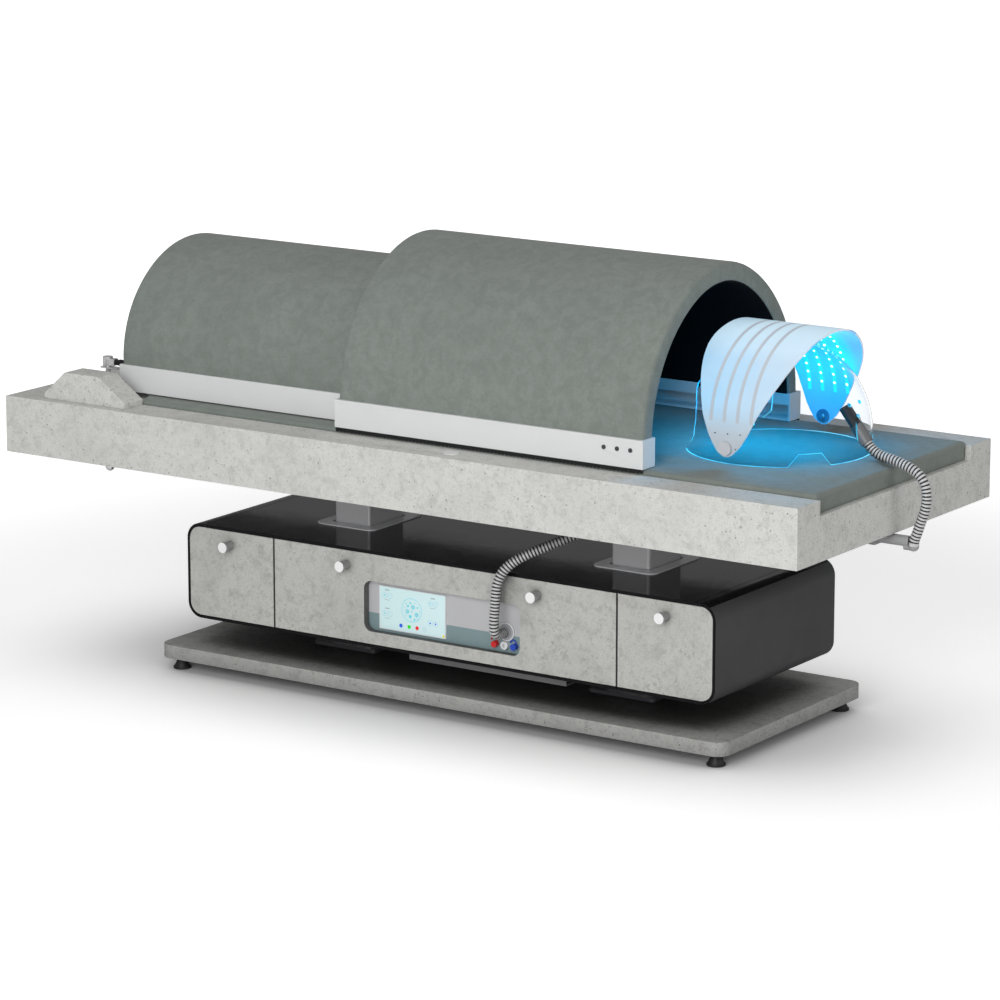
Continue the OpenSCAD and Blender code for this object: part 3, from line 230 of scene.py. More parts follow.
def buildGrainGroup():
    look = grainLook
    tree, given = newShaderGroup("fineGrain", [
        ("Colour", "colour", (0.5, 0.5, 0.5, 1)), ("Variation", "value", 0.1), ("Scale", "value", 400.0),
        ("Roughness", "value", 0.4)])
    at = placeOf(tree)
    fine = noiseOf(tree, at, given["Scale"], *look["fine"])
    wide = noiseOf(tree, at, *look["wide"])
    both = mathOf(tree, "ADD", times(tree, fine, look["fineShare"]), times(tree, wide, look["wideShare"]))
    shade = ramp(tree, both, *look["ends"])
    dark = mixColour(tree, 1.0, given["Colour"], look["dark"], "MULTIPLY")
    wear = times(tree, mathOf(tree, "SUBTRACT", shade, 0.5), look["wear"])
    return closeGroup(tree, mixColour(tree, times(tree, shade, given["Variation"]), given["Colour"], dark),
                      mathOf(tree, "ADD", wear, given["Roughness"]), fine)


suedeLook = {"fibre": (3, 0.6), "mottle": (6, 0.68, 0.5), "drift": (5.0, 3, 0.5, 0.3), "nap": (3, 0.6, 0.8),
             "napFiner": 5.0,
             "shades": {"mottle": (0.36, 0.66, 0.0, 0.42), "nap": (0.4, 0.7, 0.0, 0.3),
                        "fibre": (0.35, 0.7, 0.0, 0.35), "drift": (0.35, 0.7, 0.0, 0.2)},
             "rough": (0.3, 0.7, 0.8, 0.92), "fibreRelief": 0.5, "napRelief": 0.7}


def buildSuedeGroup():
    look = suedeLook
    tree, given = newShaderGroup("suedeNap", [
        ("Colour", "colour", (0.2, 0.21, 0.2, 1)), ("Shade", "colour", (0.15, 0.16, 0.15, 1)),
        ("Fibre Scale", "value", 900.0), ("Mottle Scale", "value", 34.0)])
    at = placeOf(tree)
    parts = {"mottle": noiseOf(tree, at, given["Mottle Scale"], *look["mottle"]),
             "nap": noiseOf(tree, at, times(tree, given["Mottle Scale"], look["napFiner"]), *look["nap"]),
             "fibre": noiseOf(tree, at, given["Fibre Scale"], *look["fibre"]),
             "drift": noiseOf(tree, at, *look["drift"])}
    mixed = given["Colour"]
    for part, ends in look["shades"].items():
        mixed = mixColour(tree, ramp(tree, parts[part], *ends), mixed, given["Shade"])
    height = mathOf(tree, "ADD", times(tree, parts["fibre"], look["fibreRelief"]),
                    times(tree, parts["nap"], look["napRelief"]))
    return closeGroup(tree, mixed, ramp(tree, parts["mottle"], *look["rough"]), height)


groups = {"concrete": buildConcreteGroup(), "grain": buildGrainGroup(), "suede": buildSuedeGroup()}
finishes = {}
# the colour of painted shade, where something stands close to a surface
paintedShadeColour = (0.02, 0.02, 0.019)
nookSamples = 8
reliefs = {"concrete": (0.5, 0.0008), "suede": (0.35, 0.0006), "lit": (0.05, 0.0001), "console": (0.06, 0.0001),
           "hose": (0.08, 0.0001), "acrylic": (0.01, 0.0001)}  # a bump's strength and its depth in metres


def newMaterial(name, inputs=None):
    material = bpy.data.materials.new(name)
    material.use_nodes = True
    tree = material.node_tree
    tree.nodes.clear()
    shader = addNode(tree, "ShaderNodeBsdfPrincipled", inputs)
    addNode(tree, "ShaderNodeOutputMaterial", {"Surface": shader.outputs[0]})
    finishes[name] = material
    return tree, shader


def useGroup(tree, shader, group, values, bump, distance):
    block = addNode(tree, "ShaderNodeGroup", node_tree=groups[group])
    for label, value in values.items():
        block.inputs[label].default_value = (*value, 1) if isinstance(value, tuple) else value
    relief = addNode(tree, "ShaderNodeBump", {
        "Strength": bump, "Distance": distance, "Height": block.outputs["Height"]})
    made = block.outputs
    feed(shader, Base_Color=made["Colour"], Roughness=made["Roughness"], Normal=relief.outputs[0])
    return block


def paintedShadeOf(tree, nook, colour):  # painted shade: darkens a surface's colour where something stands close to it
    reach, low, high = nook
    clear = addNode(tree, "ShaderNodeAmbientOcclusion", {"Distance": reach}, samples=nookSamples).outputs["AO"]
    return mixColour(tree, ramp(tree, clear, low, high), paintedShadeColour, colour)


def concreteFinish(name, light, dark, patchScale, patchAmount, poreAmount, nook=None):
    tree, shader = newMaterial(name, {"Specular IOR Level": 0.3})
    block = useGroup(tree, shader, "concrete", {
        "Light": light, "Dark": dark, "Patch Scale": patchScale, "Patch Amount": patchAmount,
        "Pore Amount": poreAmount}, *reliefs["concrete"])
    # a nook paints shade where something stands close
    if nook:
        feed(shader, Base_Color=paintedShadeOf(tree, nook, block.outputs["Colour"]))


def solidFinish(name, colour, roughness, variation=0.12, scale=500.0, bump=0.12, distance=0.0002, **inputs):
    tree, shader = newMaterial(name, {key.replace("_", " "): value for key, value in inputs.items()})
    useGroup(tree, shader, "grain", {
        "Colour": colour, "Variation": variation, "Scale": scale, "Roughness": roughness}, bump, distance)


def suedeFinish(name, colour, shade):
    tree, shader = newMaterial(name, {"Specular IOR Level": 0.2, "Sheen Weight": 0.12, "Sheen Roughness": 0.5})
    useGroup(tree, shader, "suede", {"Colour": colour, "Shade": shade}, *reliefs["suede"])


def litFinish(name, colour, strength):
    tree, shader = newMaterial(name, {"Emission Strength": strength})
    block = useGroup(tree, shader, "grain", {
        "Colour": colour, "Variation": 0.1, "Scale": 300.0, "Roughness": 0.4}, *reliefs["lit"])
    feed(shader, Emission_Color=block.outputs["Colour"])


# one cast concrete in three tones: the cabinet's and base's darker tones are partly their own and partly painted
# shade under the table's overhang, and their nooks paint shade round the knobs and under the cabinet
concreteFinish("concreteTable", (0.67, 0.67, 0.64), (0.40, 0.40, 0.38), 5.0, 0.20, 0.8)
concreteFinish("concreteCabinet", (0.565, 0.565, 0.535), (0.28, 0.28, 0.265), 7.0, 0.24, 0.9, (0.09, 0.25, 0.97))
concreteFinish("concreteBase", (0.50, 0.50, 0.48), (0.27, 0.27, 0.26), 7.0, 0.24, 0.9, (0.2, 0.28, 0.82))
# painted shade: a darker copy of the concrete for the side faces of the fronts and the back, which lie in the gaps
concreteFinish("concreteEdge", (0.15, 0.15, 0.143), (0.08, 0.08, 0.076), 8.0, 0.3, 0.8)
suedeFinish("suedeCover", (0.25, 0.278, 0.253), (0.152, 0.171, 0.155))
suedeFinish("suedePad", (0.225, 0.25, 0.228), (0.165, 0.186, 0.168))
solidFinish("liningBlack", (0.006, 0.006, 0.007), 0.85, 0.3, 260.0, 0.3, 0.0005, Specular_IOR_Level=0.1)
solidFinish("skirtPaint", (0.73, 0.74, 0.74), 0.42, 0.08, 700.0, 0.06, 0.0001, Coat_Weight=0.15)
solidFinish("stripRubber", (0.012, 0.012, 0.013), 0.6, 0.3, 350.0, 0.3, 0.0004, Specular_IOR_Level=0.3)
solidFinish("buttonDark", (0.05, 0.05, 0.055), 0.35, 0.2)
solidFinish("shellGloss", (0.006, 0.006, 0.007), 0.1, 0.2, 120.0, 0.02, Specular_IOR_Level=0.14)
solidFinish("capSatin", (0.068, 0.068, 0.069), 0.45, 0.15, bump=0.06, Specular_IOR_Level=0.12)
solidFinish("frameSteel", (0.22, 0.22, 0.23), 0.45, 0.25, 240.0, 0.15, 0.0003, Metallic=0.6)
solidFinish("panelGrey", (0.16, 0.16, 0.165), 0.7, 0.3, 220.0, 0.2, 0.0004)
solidFinish("columnMetal", (0.56, 0.56, 0.57), 0.42, 0.12, 800.0, 0.08, 0.0001, Metallic=0.2)
solidFinish("collarPlastic", (0.64, 0.64, 0.65), 0.2, 0.1)
solidFinish("actuatorPaint", (0.05, 0.05, 0.055), 0.4, 0.25)
solidFinish("trayGrey", (0.20, 0.20, 0.205), 0.4, 0.15)
solidFinish("knobStem", (0.35, 0.35, 0.35), 0.35, 0.15, 600.0, 0.05, 0.0001)
solidFinish("drawerPaint", (0.33, 0.33, 0.34), 0.42, 0.15)
solidFinish("knobWhite", (0.92, 0.92, 0.92), 0.3, 0.08, 600.0, 0.05, 0.0001)
solidFinish("socketGrey", (0.36, 0.37, 0.39), 0.35, 0.15)
solidFinish("socketWhite", (0.74, 0.75, 0.76), 0.35, 0.1)
solidFinish("pinBrass", (0.55, 0.42, 0.20), 0.3, 0.2, Metallic=0.9)
solidFinish("capRed", (0.62, 0.012, 0.012), 0.35, 0.15)
solidFinish("capBlue", (0.012, 0.06, 0.50), 0.35, 0.15)
solidFinish("footRubber", (0.012, 0.012, 0.013), 0.55, 0.3, 300.0, 0.25, 0.0004)
solidFinish("footStem", (0.42, 0.42, 0.42), 0.4, 0.2, Metallic=0.7)
solidFinish("chrome", (0.86, 0.86, 0.87), 0.16, 0.1, 300.0, 0.03, 0.0001, Metallic=0.7)
solidFinish("blackMetal", (0.02, 0.02, 0.022), 0.35, 0.25, Metallic=0.4)
solidFinish("buttonWhite", (0.74, 0.74, 0.73), 0.3, 0.08)
solidFinish("pipePlastic", (0.34, 0.34, 0.345), 0.4)
solidFinish("pivotBlue", (0.10, 0.22, 0.34), 0.35, 0.2)
solidFinish("nozzleGrey", (0.16, 0.16, 0.165), 0.4, 0.15)
solidFinish("nozzleDark", (0.05, 0.052, 0.056), 0.32, 0.2)
solidFinish("clampWhite", (0.60, 0.61, 0.64), 0.35)
solidFinish("screwDark", (0.07, 0.07, 0.08), 0.35, 0.2, Metallic=0.6)
# painted light: the rim glows pale so that it doesn't fall into shade
solidFinish("visorRim", (0.70, 0.72, 0.75), 0.35, 0.08, 500.0, 0.05, 0.0001,
            Emission_Color=(0.7, 0.74, 0.8, 1), Emission_Strength=0.32)
litFinish("inkCyan", (0.10, 0.56, 0.64), 0.3)
litFinish("inkPale", (0.26, 0.52, 0.66), 0.2)
litFinish("inkBlue", (0.01, 0.10, 0.62), 0.35)
litFinish("inkGreen", (0.02, 0.62, 0.02), 0.35)
litFinish("inkRed", (0.70, 0.01, 0.01), 0.35)
litFinish("inkYellow", (0.80, 0.66, 0.02), 0.35)
litFinish("inkGrey", (0.30, 0.40, 0.43), 0.15)
litFinish("ledStrip", (0.02, 0.66, 0.86), 1.0)
litFinish("ledDot", (0.75, 1.0, 1.0), 3.0)

consoleSizes = {"split": (0.2021, 0.2029), "upper": (0.54, 0.54, 0.555), "lower": (0.22, 0.31, 0.325)}
screenSizes = {"left": (0.57, 0.74, 0.75), "right": (0.60, 0.77, 0.79), "spanX": (-0.158, 0.024),
               "pixel": (0.45, 0.75, 0.78), "pixels": (900.0, 2, 0.5, 0.0, 0.3, 0.7, 0.0, 0.08)}
# the grooves' near-black is painted shade in the recesses between the ribs, and the nook paints shade where the hose
# runs close under the table
hoseLook = {"rib": (0.60, 0.60, 0.60), "groove": (0.02, 0.02, 0.022), "ends": (0.2, 0.85), "nook": (0.3, 0.0, 0.8),
            "phase": 0.75, "wave": (-0.6, 0.1)}
innerSizes = {"glow": 0.72, "low": (0.06, 0.38, 0.66), "high": (0.04, 0.80, 0.98), "blue": (0.14, 0.50, 0.92),
              "grey": (0.28, 0.33, 0.40), "spanZ": (0.70, 0.84), "fade": (0.815, 0.85),
              "end": (0.862, 0.892, 0.0, 0.75), "cloud": (16.0, 4, 0.6, 0.3, 0.35, 0.65, 0.0, 0.18),
              "base": (0.05, 0.3, 0.5)}
visorSizes = {"stripes": (731, 764, 797, 831), "stripeEdge": (0.0032, 0.0052), "stripeZ": (0.746, 0.753),
              "stripeShares": (0.62, 0.7), "spanX": (0.64, 0.90, 1.0, 0.35), "glow": 0.5, "glowFrom": (0.70, 0.80),
              "glowTo": (0.86, 0.955), "pale": (0.53, 0.59, 0.65), "blue": (0.36, 0.60, 0.80),
              "stripe": (0.46, 0.44, 0.44), "litPale": (0.30, 0.38, 0.46), "litBlue": (0.06, 0.30, 0.52),
              "litStripe": (0.10, 0.085, 0.075), "crest": (0.87, 0.935), "paintedTopLightColour": (0.54, 0.82, 1.0),
              "cloud": (9.0, 3, 0.5, 0.4, 0.2, 0.75, 0.65, 1.0), "fine": (0.4, 0.5, 0.6), "fineNoise": (420.0, 2),
              "fineEnds": (0.3, 0.7, 0.0, 0.06), "rough": (0.2, 0.8, 0.26, 0.36)}
edgeSizes = {"glow": 1.2, "low": (0.12, 0.80, 0.95), "high": (0.02, 0.35, 0.55), "spanZ": (0.69, 0.76),
             "cloud": (13.0, 4, 0.6, 0.3, 0.4, 0.62), "dim": (0.22, 0.26, 0.3), "patchy": 0.8,
             "base": ((0.1, 0.5, 0.7), (0.05, 0.3, 0.5)), "baseShare": 0.2}
acrylicTint = (0.875, 0.895, 0.915)


def consoleFinish(name, s):
    tree, shader = newMaterial(name)
    block = useGroup(tree, shader, "grain", {"Variation": 0.12, "Scale": 600.0, "Roughness": 0.4},
                     *reliefs["console"])
    above = ramp(tree, axesOf(tree)["Z"], *s["split"])
    feed(block, Colour=mixColour(tree, above, s["lower"], s["upper"]))


def screenFinish(name, s):
    tree, shader = newMaterial(name, {"Roughness": 0.15, "Emission Strength": 0.2})
    glow = mixColour(tree, ramp(tree, axesOf(tree)["X"], *s["spanX"]), s["left"], s["right"])
    glow = mixColour(tree, maskOf(tree, placeOf(tree), *s["pixels"]), glow, s["pixel"])
    feed(shader, Base_Color=glow, Emission_Color=glow)


def hoseFinish(name, look):
    tree, shader = newMaterial(name)
    block = useGroup(tree, shader, "grain", {"Variation": 0.16, "Scale": 500.0, "Roughness": 0.42},
                     *reliefs["hose"])
    height = addNode(tree, "ShaderNodeAttribute", attribute_name="ribHeight").outputs["Fac"]
    feed(block, Colour=mixColour(tree, ramp(tree, height, *look["ends"]), look["groove"], look["rib"]))
    # painted shade where the hose runs close to other parts
    feed(shader, Base_Color=paintedShadeOf(tree, look["nook"], block.outputs["Colour"]))


# the shell's blue tint and emission are partly the LEDs' glow showing through it and partly painted light; the
# stripes are print
def visorFinish(name, s):
    tree, shader = newMaterial(name, {"Emission Strength": s["glow"], "Coat Weight": 0.3, "Coat Roughness": 0.1})
    at, axes = placeOf(tree), axesOf(tree)
    x, z = axes["X"], axes["Z"]
    stripes = []
    for middle in s["stripes"]:
        off = mathOf(tree, "ABSOLUTE", mathOf(tree, "SUBTRACT", x, middle / 1000 + seatX))
        stripes.append(ramp(tree, off, *s["stripeEdge"], 1.0, 0.0))
    stripe = times(tree, highest(tree, *stripes), ramp(tree, z, *s["stripeZ"]))
    body = times(tree, ramp(tree, z, *s["glowFrom"]), ramp(tree, z, *s["glowTo"], 1.0, 0.0))
    aside = ramp(tree, x, *s["spanX"])
    blue = times(tree, times(tree, body, aside), maskOf(tree, at, *s["cloud"]))
    tint = mixColour(tree, blue, s["pale"], s["blue"])
    tint = mixColour(tree, times(tree, stripe, s["stripeShares"][0]), tint, s["stripe"])
    fine = noiseOf(tree, at, *s["fineNoise"])
    tint = mixColour(tree, ramp(tree, fine, *s["fineEnds"]), tint, s["fine"])
    lit = mixColour(tree, blue, s["litPale"], s["litBlue"])
    # painted highlight: the top band glows brighter, as light from above would make it
    lit = mixColour(tree, ramp(tree, z, *s["crest"]), lit, s["paintedTopLightColour"])
    lit = mixColour(tree, ramp(tree, z, *s["glowFrom"]), (0.0, 0.0, 0.0), lit)
    lit = mixColour(tree, times(tree, stripe, s["stripeShares"][1]), lit, s["litStripe"])
    feed(shader, Base_Color=tint, Emission_Color=lit, Roughness=ramp(tree, fine, *s["rough"]))


# painted light: the hood's cut edges glow with the LEDs' light gathered in the acrylic, cyan low down, darker higher
# up and dimmer in patches
def edgeFinish(name, s):
    tree, shader = newMaterial(name, {"Emission Strength": s["glow"], "Roughness": 0.3})
    colour = mixColour(tree, ramp(tree, axesOf(tree)["Z"], *s["spanZ"]), s["low"], s["high"])
    cloud = maskOf(tree, placeOf(tree), *s["cloud"])
    dim = mixColour(tree, 1.0, colour, s["dim"], "MULTIPLY")
    feed(shader, Emission_Color=mixColour(tree, times(tree, cloud, s["patchy"]), colour, dim),
         Base_Color=mixColour(tree, times(tree, cloud, s["baseShare"]), *s["base"]))


# painted light: the inner face glows with the LEDs' light, cyan high up, blue lower down and grey towards the end
def innerFinish(name, s):
    tree, shader = newMaterial(name, {"Emission Strength": s["glow"], "Roughness": 0.3})
    axes = axesOf(tree)
    colour = mixColour(tree, ramp(tree, axes["Z"], *s["spanZ"]), s["low"], s["high"])
    colour = mixColour(tree, ramp(tree, axes["X"], *s["fade"]), colour, s["blue"])
    colour = mixColour(tree, ramp(tree, axes["X"], *s["end"]), colour, s["grey"])
    colour = mixColour(tree, maskOf(tree, placeOf(tree), *s["cloud"]), colour, s["blue"])
    feed(shader, Emission_Color=colour, Base_Color=mixColour(tree, 0.5, colour, s["base"]))


def acrylicFinish(name, tint):
    tree, shader = newMaterial(name, {
        "Transmission Weight": 1.0, "IOR": 1.08, "Specular IOR Level": 0.5, "Metallic": 0.0})
    useGroup(tree, shader, "grain", {"Colour": tint, "Variation": 0.04, "Scale": 60.0}, *reliefs["acrylic"])
    tree.links.remove(shader.inputs["Roughness"].links[0])
    shader.inputs["Roughness"].default_value = 0.0


consoleFinish("consolePlastic", consoleSizes)
screenFinish("screenGlass", screenSizes)
hoseFinish("hosePlastic", hoseLook)
visorFinish("visorShell", visorSizes)
innerFinish("visorInner", innerSizes)
edgeFinish("acrylicEdge", edgeSizes)
acrylicFinish("acrylic", acrylicTint)
print("stage: materials,", len(finishes))


# Piece helpers


def addPiece(name, mesh, node, materials=(), hides=False, rides=True):
    # a piece on a CAD node's body, shown in place of the node or beside it
    piece = linked(bpy.data.objects.new(name, mesh))
    for material in materials:
        mesh.materials.append(finishes[material])
    if rides:
        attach(piece, bodyOf[node])
    if hides:
        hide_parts(node)
    return piece


def meshOf(name, verts, faces, smoothFaces=True, turn=False):
    mesh = bpy.data.meshes.new(name)
    mesh.from_pydata([tuple(v) for v in verts], [], faces)
    mesh.update()
    if turn:
        outward = bmesh.new()
        outward.from_mesh(mesh)
        bmesh.ops.remove_doubles(outward, verts=outward.verts, dist=1e-6)
        bmesh.ops.recalc_face_normals(outward, faces=outward.faces)
        outward.to_mesh(mesh)
        outward.free()
    if smoothFaces:
        mesh.shade_smooth()
    return mesh


def camelName(node):
    words = node.split("_")
    if len(words) == 1:
        return node + "Piece"
    return words[0] + "".join(w.capitalize() for w in words[1:])


def circle(count):  # the cosines and sines of even steps round a circle
    turns = [2 * math.pi * k / count for k in range(count)]
    return [(math.cos(t), math.sin(t)) for t in turns]


def band(a, b):  # the faces between two closed rows of corners
    return [(a[k], a[(k + 1) % len(a)], b[(k + 1) % len(a)], b[k]) for k in range(len(a))]


def splitAt(axis, limit, below=1):  # a face's material, by the side of a place on an axis that it lies on
    return lambda face: below if face.calc_center_median()[axis] < limit else 1 - below


dressSizes = {"merge": 2e-6, "degenerate": 2e-5, "flat": math.radians(0.4), "flatCorners": 6, "flatArea": 0.00005,
              "wideCorners": 24, "leastArea": 1e-9, "normalWeight": 100}


def dress(names, materials, bevel=0.0007, pick=None, sharp=32, segments=2):
    # finished copies of CAD nodes, with merged faces and softened outer edges
    s = dressSizes
    for node in names.split():
        name, mesh = camelName(node), nodes[node].data.copy()
        mesh.name = name
        mesh.materials.clear()
        work = bmesh.new()
        work.from_mesh(mesh)
        bmesh.ops.remove_doubles(work, verts=work.verts, dist=s["merge"])
        bmesh.ops.dissolve_degenerate(work, dist=s["degenerate"], edges=work.edges)
        bmesh.ops.dissolve_limit(work, angle_limit=s["flat"], verts=work.verts, edges=work.edges)
        work.normal_update()
        for face in work.faces:
            face.material_index = pick(face) if pick else 0
            face.smooth = not (len(face.verts) > s["flatCorners"] and face.calc_area() > s["flatArea"])
        wide = [face for face in work.faces if len(face.verts) > s["wideCorners"]]
        bmesh.ops.triangulate(work, faces=wide, quad_method="BEAUTY", ngon_method="BEAUTY")
        weight = work.edges.layers.float.new("bevel_weight_edge")
        for edge in work.edges:
            folded = len(edge.link_faces) == 2 and edge.calc_face_angle() > math.radians(sharp)
            edge.smooth = not (folded and min(face.calc_area() for face in edge.link_faces) > s["leastArea"])
            edge[weight] = 1.0 if folded and edge.is_convex else 0.0
        work.to_mesh(mesh)
        work.free()
        piece = addPiece(name, mesh, node, materials.split(), True)
        if bevel:
            soften = piece.modifiers.new("softEdges", "BEVEL")
            soften.width = bevel
            soften.segments = segments
            soften.limit_method = "WEIGHT"
            soften.use_clamp_overlap = True
        even = piece.modifiers.new("evenNormals", "WEIGHTED_NORMAL")
        even.weight = s["normalWeight"]
        even.keep_sharp = True
    return piece


# Geometry Nodes helpers


def newShapeTree(name, *values):  # its inputs: the values, then how many sides its round forms have
    tree = bpy.data.node_groups.new(name, "GeometryNodeTree")
    for label, kind in (("Geometry", "Geometry"), *((value, "Float") for value in values), ("Sides", "Int")):
        tree.interface.new_socket(label, in_out="INPUT", socket_type="NodeSocket" + kind)
    tree.interface.new_socket("Geometry", in_out="OUTPUT", socket_type="NodeSocketGeometry")
    return tree, tree.nodes.new("NodeGroupInput").outputs


def closeShape(tree, geometry, material, smoothShade=True):
    real = addNode(tree, "GeometryNodeRealizeInstances", {0: geometry}).outputs[0]
    shaded = addNode(tree, "GeometryNodeSetShadeSmooth", {"Geometry": real, "Shade Smooth": smoothShade}).outputs[0]
    done = addNode(tree, "GeometryNodeSetMaterial", {"Geometry": shaded, "Material": finishes[material]})
    tree.links.new(done.outputs[0], tree.nodes.new("NodeGroupOutput").inputs[0])
    return tree


def makeShape(name, mesh, tree, values):
    # runs the tree on the mesh and gives back what it makes as a plain mesh
    source = linked(bpy.data.objects.new(name + "Source", mesh))
    modifier = source.modifiers.new(name, "NODES")
    modifier.node_group = tree
    known = {s.name: s.identifier for s in tree.interface.items_tree if s.in_out == "INPUT"}
    for label, value in values.items():
        modifier[known[label]] = value
    graph = bpy.context.evaluated_depsgraph_get()
    made = bpy.data.meshes.new_from_object(source.evaluated_get(graph), depsgraph=graph)
    made.name = name
    source.modifiers.remove(modifier)
    bpy.data.objects.remove(source)
    return made


def buildHoseTree():
    tree, given = newShapeTree("ribbedHose", "Hose Radius", "Groove Radius", "Rib Pitch", "Cuff Length",
                               "Rings Per Rib")

    def calc(operation, *values):
        return mathOf(tree, operation, *values)

    curve = addNode(tree, "GeometryNodeMeshToCurve", {0: given["Geometry"]}).outputs[0]
    step = calc("DIVIDE", given["Rib Pitch"], given["Rings Per Rib"])
    even = addNode(tree, "GeometryNodeResampleCurve", {"Curve": curve, "Length": step}, mode="LENGTH").outputs[0]
    total = addNode(tree, "GeometryNodeSplineLength").outputs[0]
    along = addNode(tree, "GeometryNodeSplineParameter").outputs["Length"]
    ribbed = calc("SUBTRACT", total, calc("MULTIPLY", given["Cuff Length"], 2.0))
    gap = calc("DIVIDE", ribbed, calc("FLOOR", calc("DIVIDE", ribbed, given["Rib Pitch"])))
    phase = calc("DIVIDE", calc("SUBTRACT", along, given["Cuff Length"]), gap)
    swing = calc("COSINE", calc("MULTIPLY", calc("SUBTRACT", phase, hoseLook["phase"]), 2 * math.pi))
    first = calc("LESS_THAN", along, given["Cuff Length"])
    last = calc("GREATER_THAN", along, calc("SUBTRACT", total, given["Cuff Length"]))
    wave = highest(tree, ramp(tree, swing, *hoseLook["wave"]), highest(tree, first, last))
    depth = calc("SUBTRACT", given["Hose Radius"], given["Groove Radius"])
    radius = calc("ADD", given["Groove Radius"], calc("MULTIPLY", depth, wave))
    marked = addNode(tree, "GeometryNodeStoreNamedAttribute", {"Geometry": even, "Name": "ribHeight", "Value": wave},
                     data_type="FLOAT", domain="POINT").outputs[0]
    profile = addNode(tree, "GeometryNodeCurvePrimitiveCircle", {"Resolution": given["Sides"], "Radius": 1.0})
    sweep = addNode(tree, "GeometryNodeCurveToMesh", {"Profile Curve": profile.outputs[0], "Fill Caps": True})
    if "Scale" in sweep.inputs:
        feed(sweep, Scale=radius, Curve=marked)
    else:
        sized = addNode(tree, "GeometryNodeSetCurveRadius", {"Curve": marked, "Radius": radius})
        feed(sweep, Curve=sized.outputs[0])
    return closeShape(tree, sweep.outputs[0], "hosePlastic")


def buildHeadTree(material):
    # a small chamfered head on every point, turned to the point's facing
    tree, given = newShapeTree("heads" + material[0].upper() + material[1:], "Head Radius", "Head Height",
                               "Top Share")
    head = addNode(tree, "GeometryNodeMeshCone", {
        "Vertices": given["Sides"], "Radius Top": times(tree, given["Head Radius"], given["Top Share"]),
        "Radius Bottom": given["Head Radius"], "Depth": given["Head Height"]}, fill_type="NGON")
    way = addNode(tree, "GeometryNodeInputNamedAttribute", {"Name": "facing"}, data_type="FLOAT_VECTOR")
    turned = addNode(tree, "FunctionNodeAlignRotationToVector", {"Vector": way.outputs[0]}, axis="Z")
    spread = addNode(tree, "GeometryNodeInstanceOnPoints", {
        "Points": given["Geometry"], "Instance": head.outputs[0], "Rotation": turned.outputs[0]})
    return closeShape(tree, spread.outputs[0], material, False)


def heads(name, node, places, facing, material, radius, height, topShare, sides=14):
    points = bpy.data.meshes.new(name)
    points.from_pydata([tuple(p) for p in places], [], [])
    way = points.attributes.new("facing", "FLOAT_VECTOR", "POINT")
    for i, direction in enumerate(facing):
        way.data[i].vector = direction
    return addPiece(name, makeShape(name, points, buildHeadTree(material), {
        "Head Radius": radius, "Head Height": height, "Top Share": topShare, "Sides": sides}), node)


# Hoses

hoseTree = buildHoseTree()
hoseSizes = {"Hose Radius": 0.0116, "Groove Radius": 0.0099, "Rib Pitch": 0.0076, "Cuff Length": 0.004,
             "Rings Per Rib": 12.0, "Sides": 24}
headRoute = [(998.267, 0, 692.846), (1008.405, 0, 682.524), (1020.505, 0, 674.624), (1034.005, 0, 669.424),
             (1065, 0, 663), (1086, 0, 657.4), (1106, 0, 650), (1124, 0, 640), (1137.5, 0, 625.5), (1145, 0, 606),
             (1146.3, 0, 583), (1142, 0, 559.5), (1133.5, 0, 535), (1125.5, 0, 511), (1119, 0, 493),
             (1117, 0, 480.1)]
supplyRoute = [(217, -246.1, 210), (217, -268, 210), (218, -286, 217), (220, -294, 238), (222, -294, 270),
               (224, -293, 305), (227, -290, 335), (238, -281, 362), (258, -266, 384), (286, -246, 402),
               (318, -222, 418), (350, -196, 434), (378, -166, 449), (396, -144, 466), (400, -138, 482),
               (400, -138, 497.9)]
routeSteps = 12


def routeLine(route):  # the smooth line through the route's points, as in the part's source
    points = [place(*p) for p in route]
    line = []
    for i in range(len(points) - 1):
        a, b, c, d = points[max(i - 1, 0)], points[i], points[i + 1], points[min(i + 2, len(points) - 1)]
        for k in range(routeSteps):
            t = k / routeSteps
            line.append(0.5 * (2 * b + (c - a) * t + (2 * a - 5 * b + 4 * c - d) * t * t
                               + (3 * b - a - 3 * c + d) * t ** 3))
    return line + [points[-1]]


def lineLength(line):
    return sum((b - a).length for a, b in zip(line, line[1:]))


def hoseMesh(name, line):
    path = bpy.data.meshes.new(name + "Line")
    path.from_pydata([tuple(p) for p in line], [(i, i + 1) for i in range(len(line) - 1)], [])
    return makeShape(name, path, hoseTree, hoseSizes)


headLine = routeLine(headRoute)
headHose = addPiece("headHose", hoseMesh("headHose", headLine), "head_hose", hides=True)
supplyLine = routeLine(supplyRoute)
supplyHose = addPiece("supplyHose", hoseMesh("supplyHose", supplyLine), "supply_hose", hides=True, rides=False)
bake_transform(supplyHose)
print("stage: hoses,", round(lineLength(headLine), 3), "m and", round(lineLength(supplyLine), 3), "m")


# Domes: upholstered covers, each a wall bent over three arcs

largeSizes = {"halfWidth": 333.4, "crown": 357.4, "sideRadius": 363.4, "centreZ": 697.2, "footZ": 713.5,
              "wall": 42.0, "fromX": -179.0, "toX": 631.0, "edge": 11.0}
smallSizes = {"halfWidth": 278.0, "crown": 264.0, "sideRadius": 250.0, "centreZ": 722.7, "footZ": 713.5,
              "wall": 38.0, "fromX": -846.0, "toX": -125.0, "edge": 10.0}
coverLook = {"perArc": 26, "outerSpans": 30, "innerSpans": 12, "innerEdge": 3.0, "tuck": 2.2, "tuckRows": 3.0,
             "swell": 0.7, "swellX": 160, "swellYZ": 130, "inward": 0.35, "sharp": 50, "edgeTurn": (15, 7),
             "innerTurn": (30, 4)}  # degrees in a step and how many places


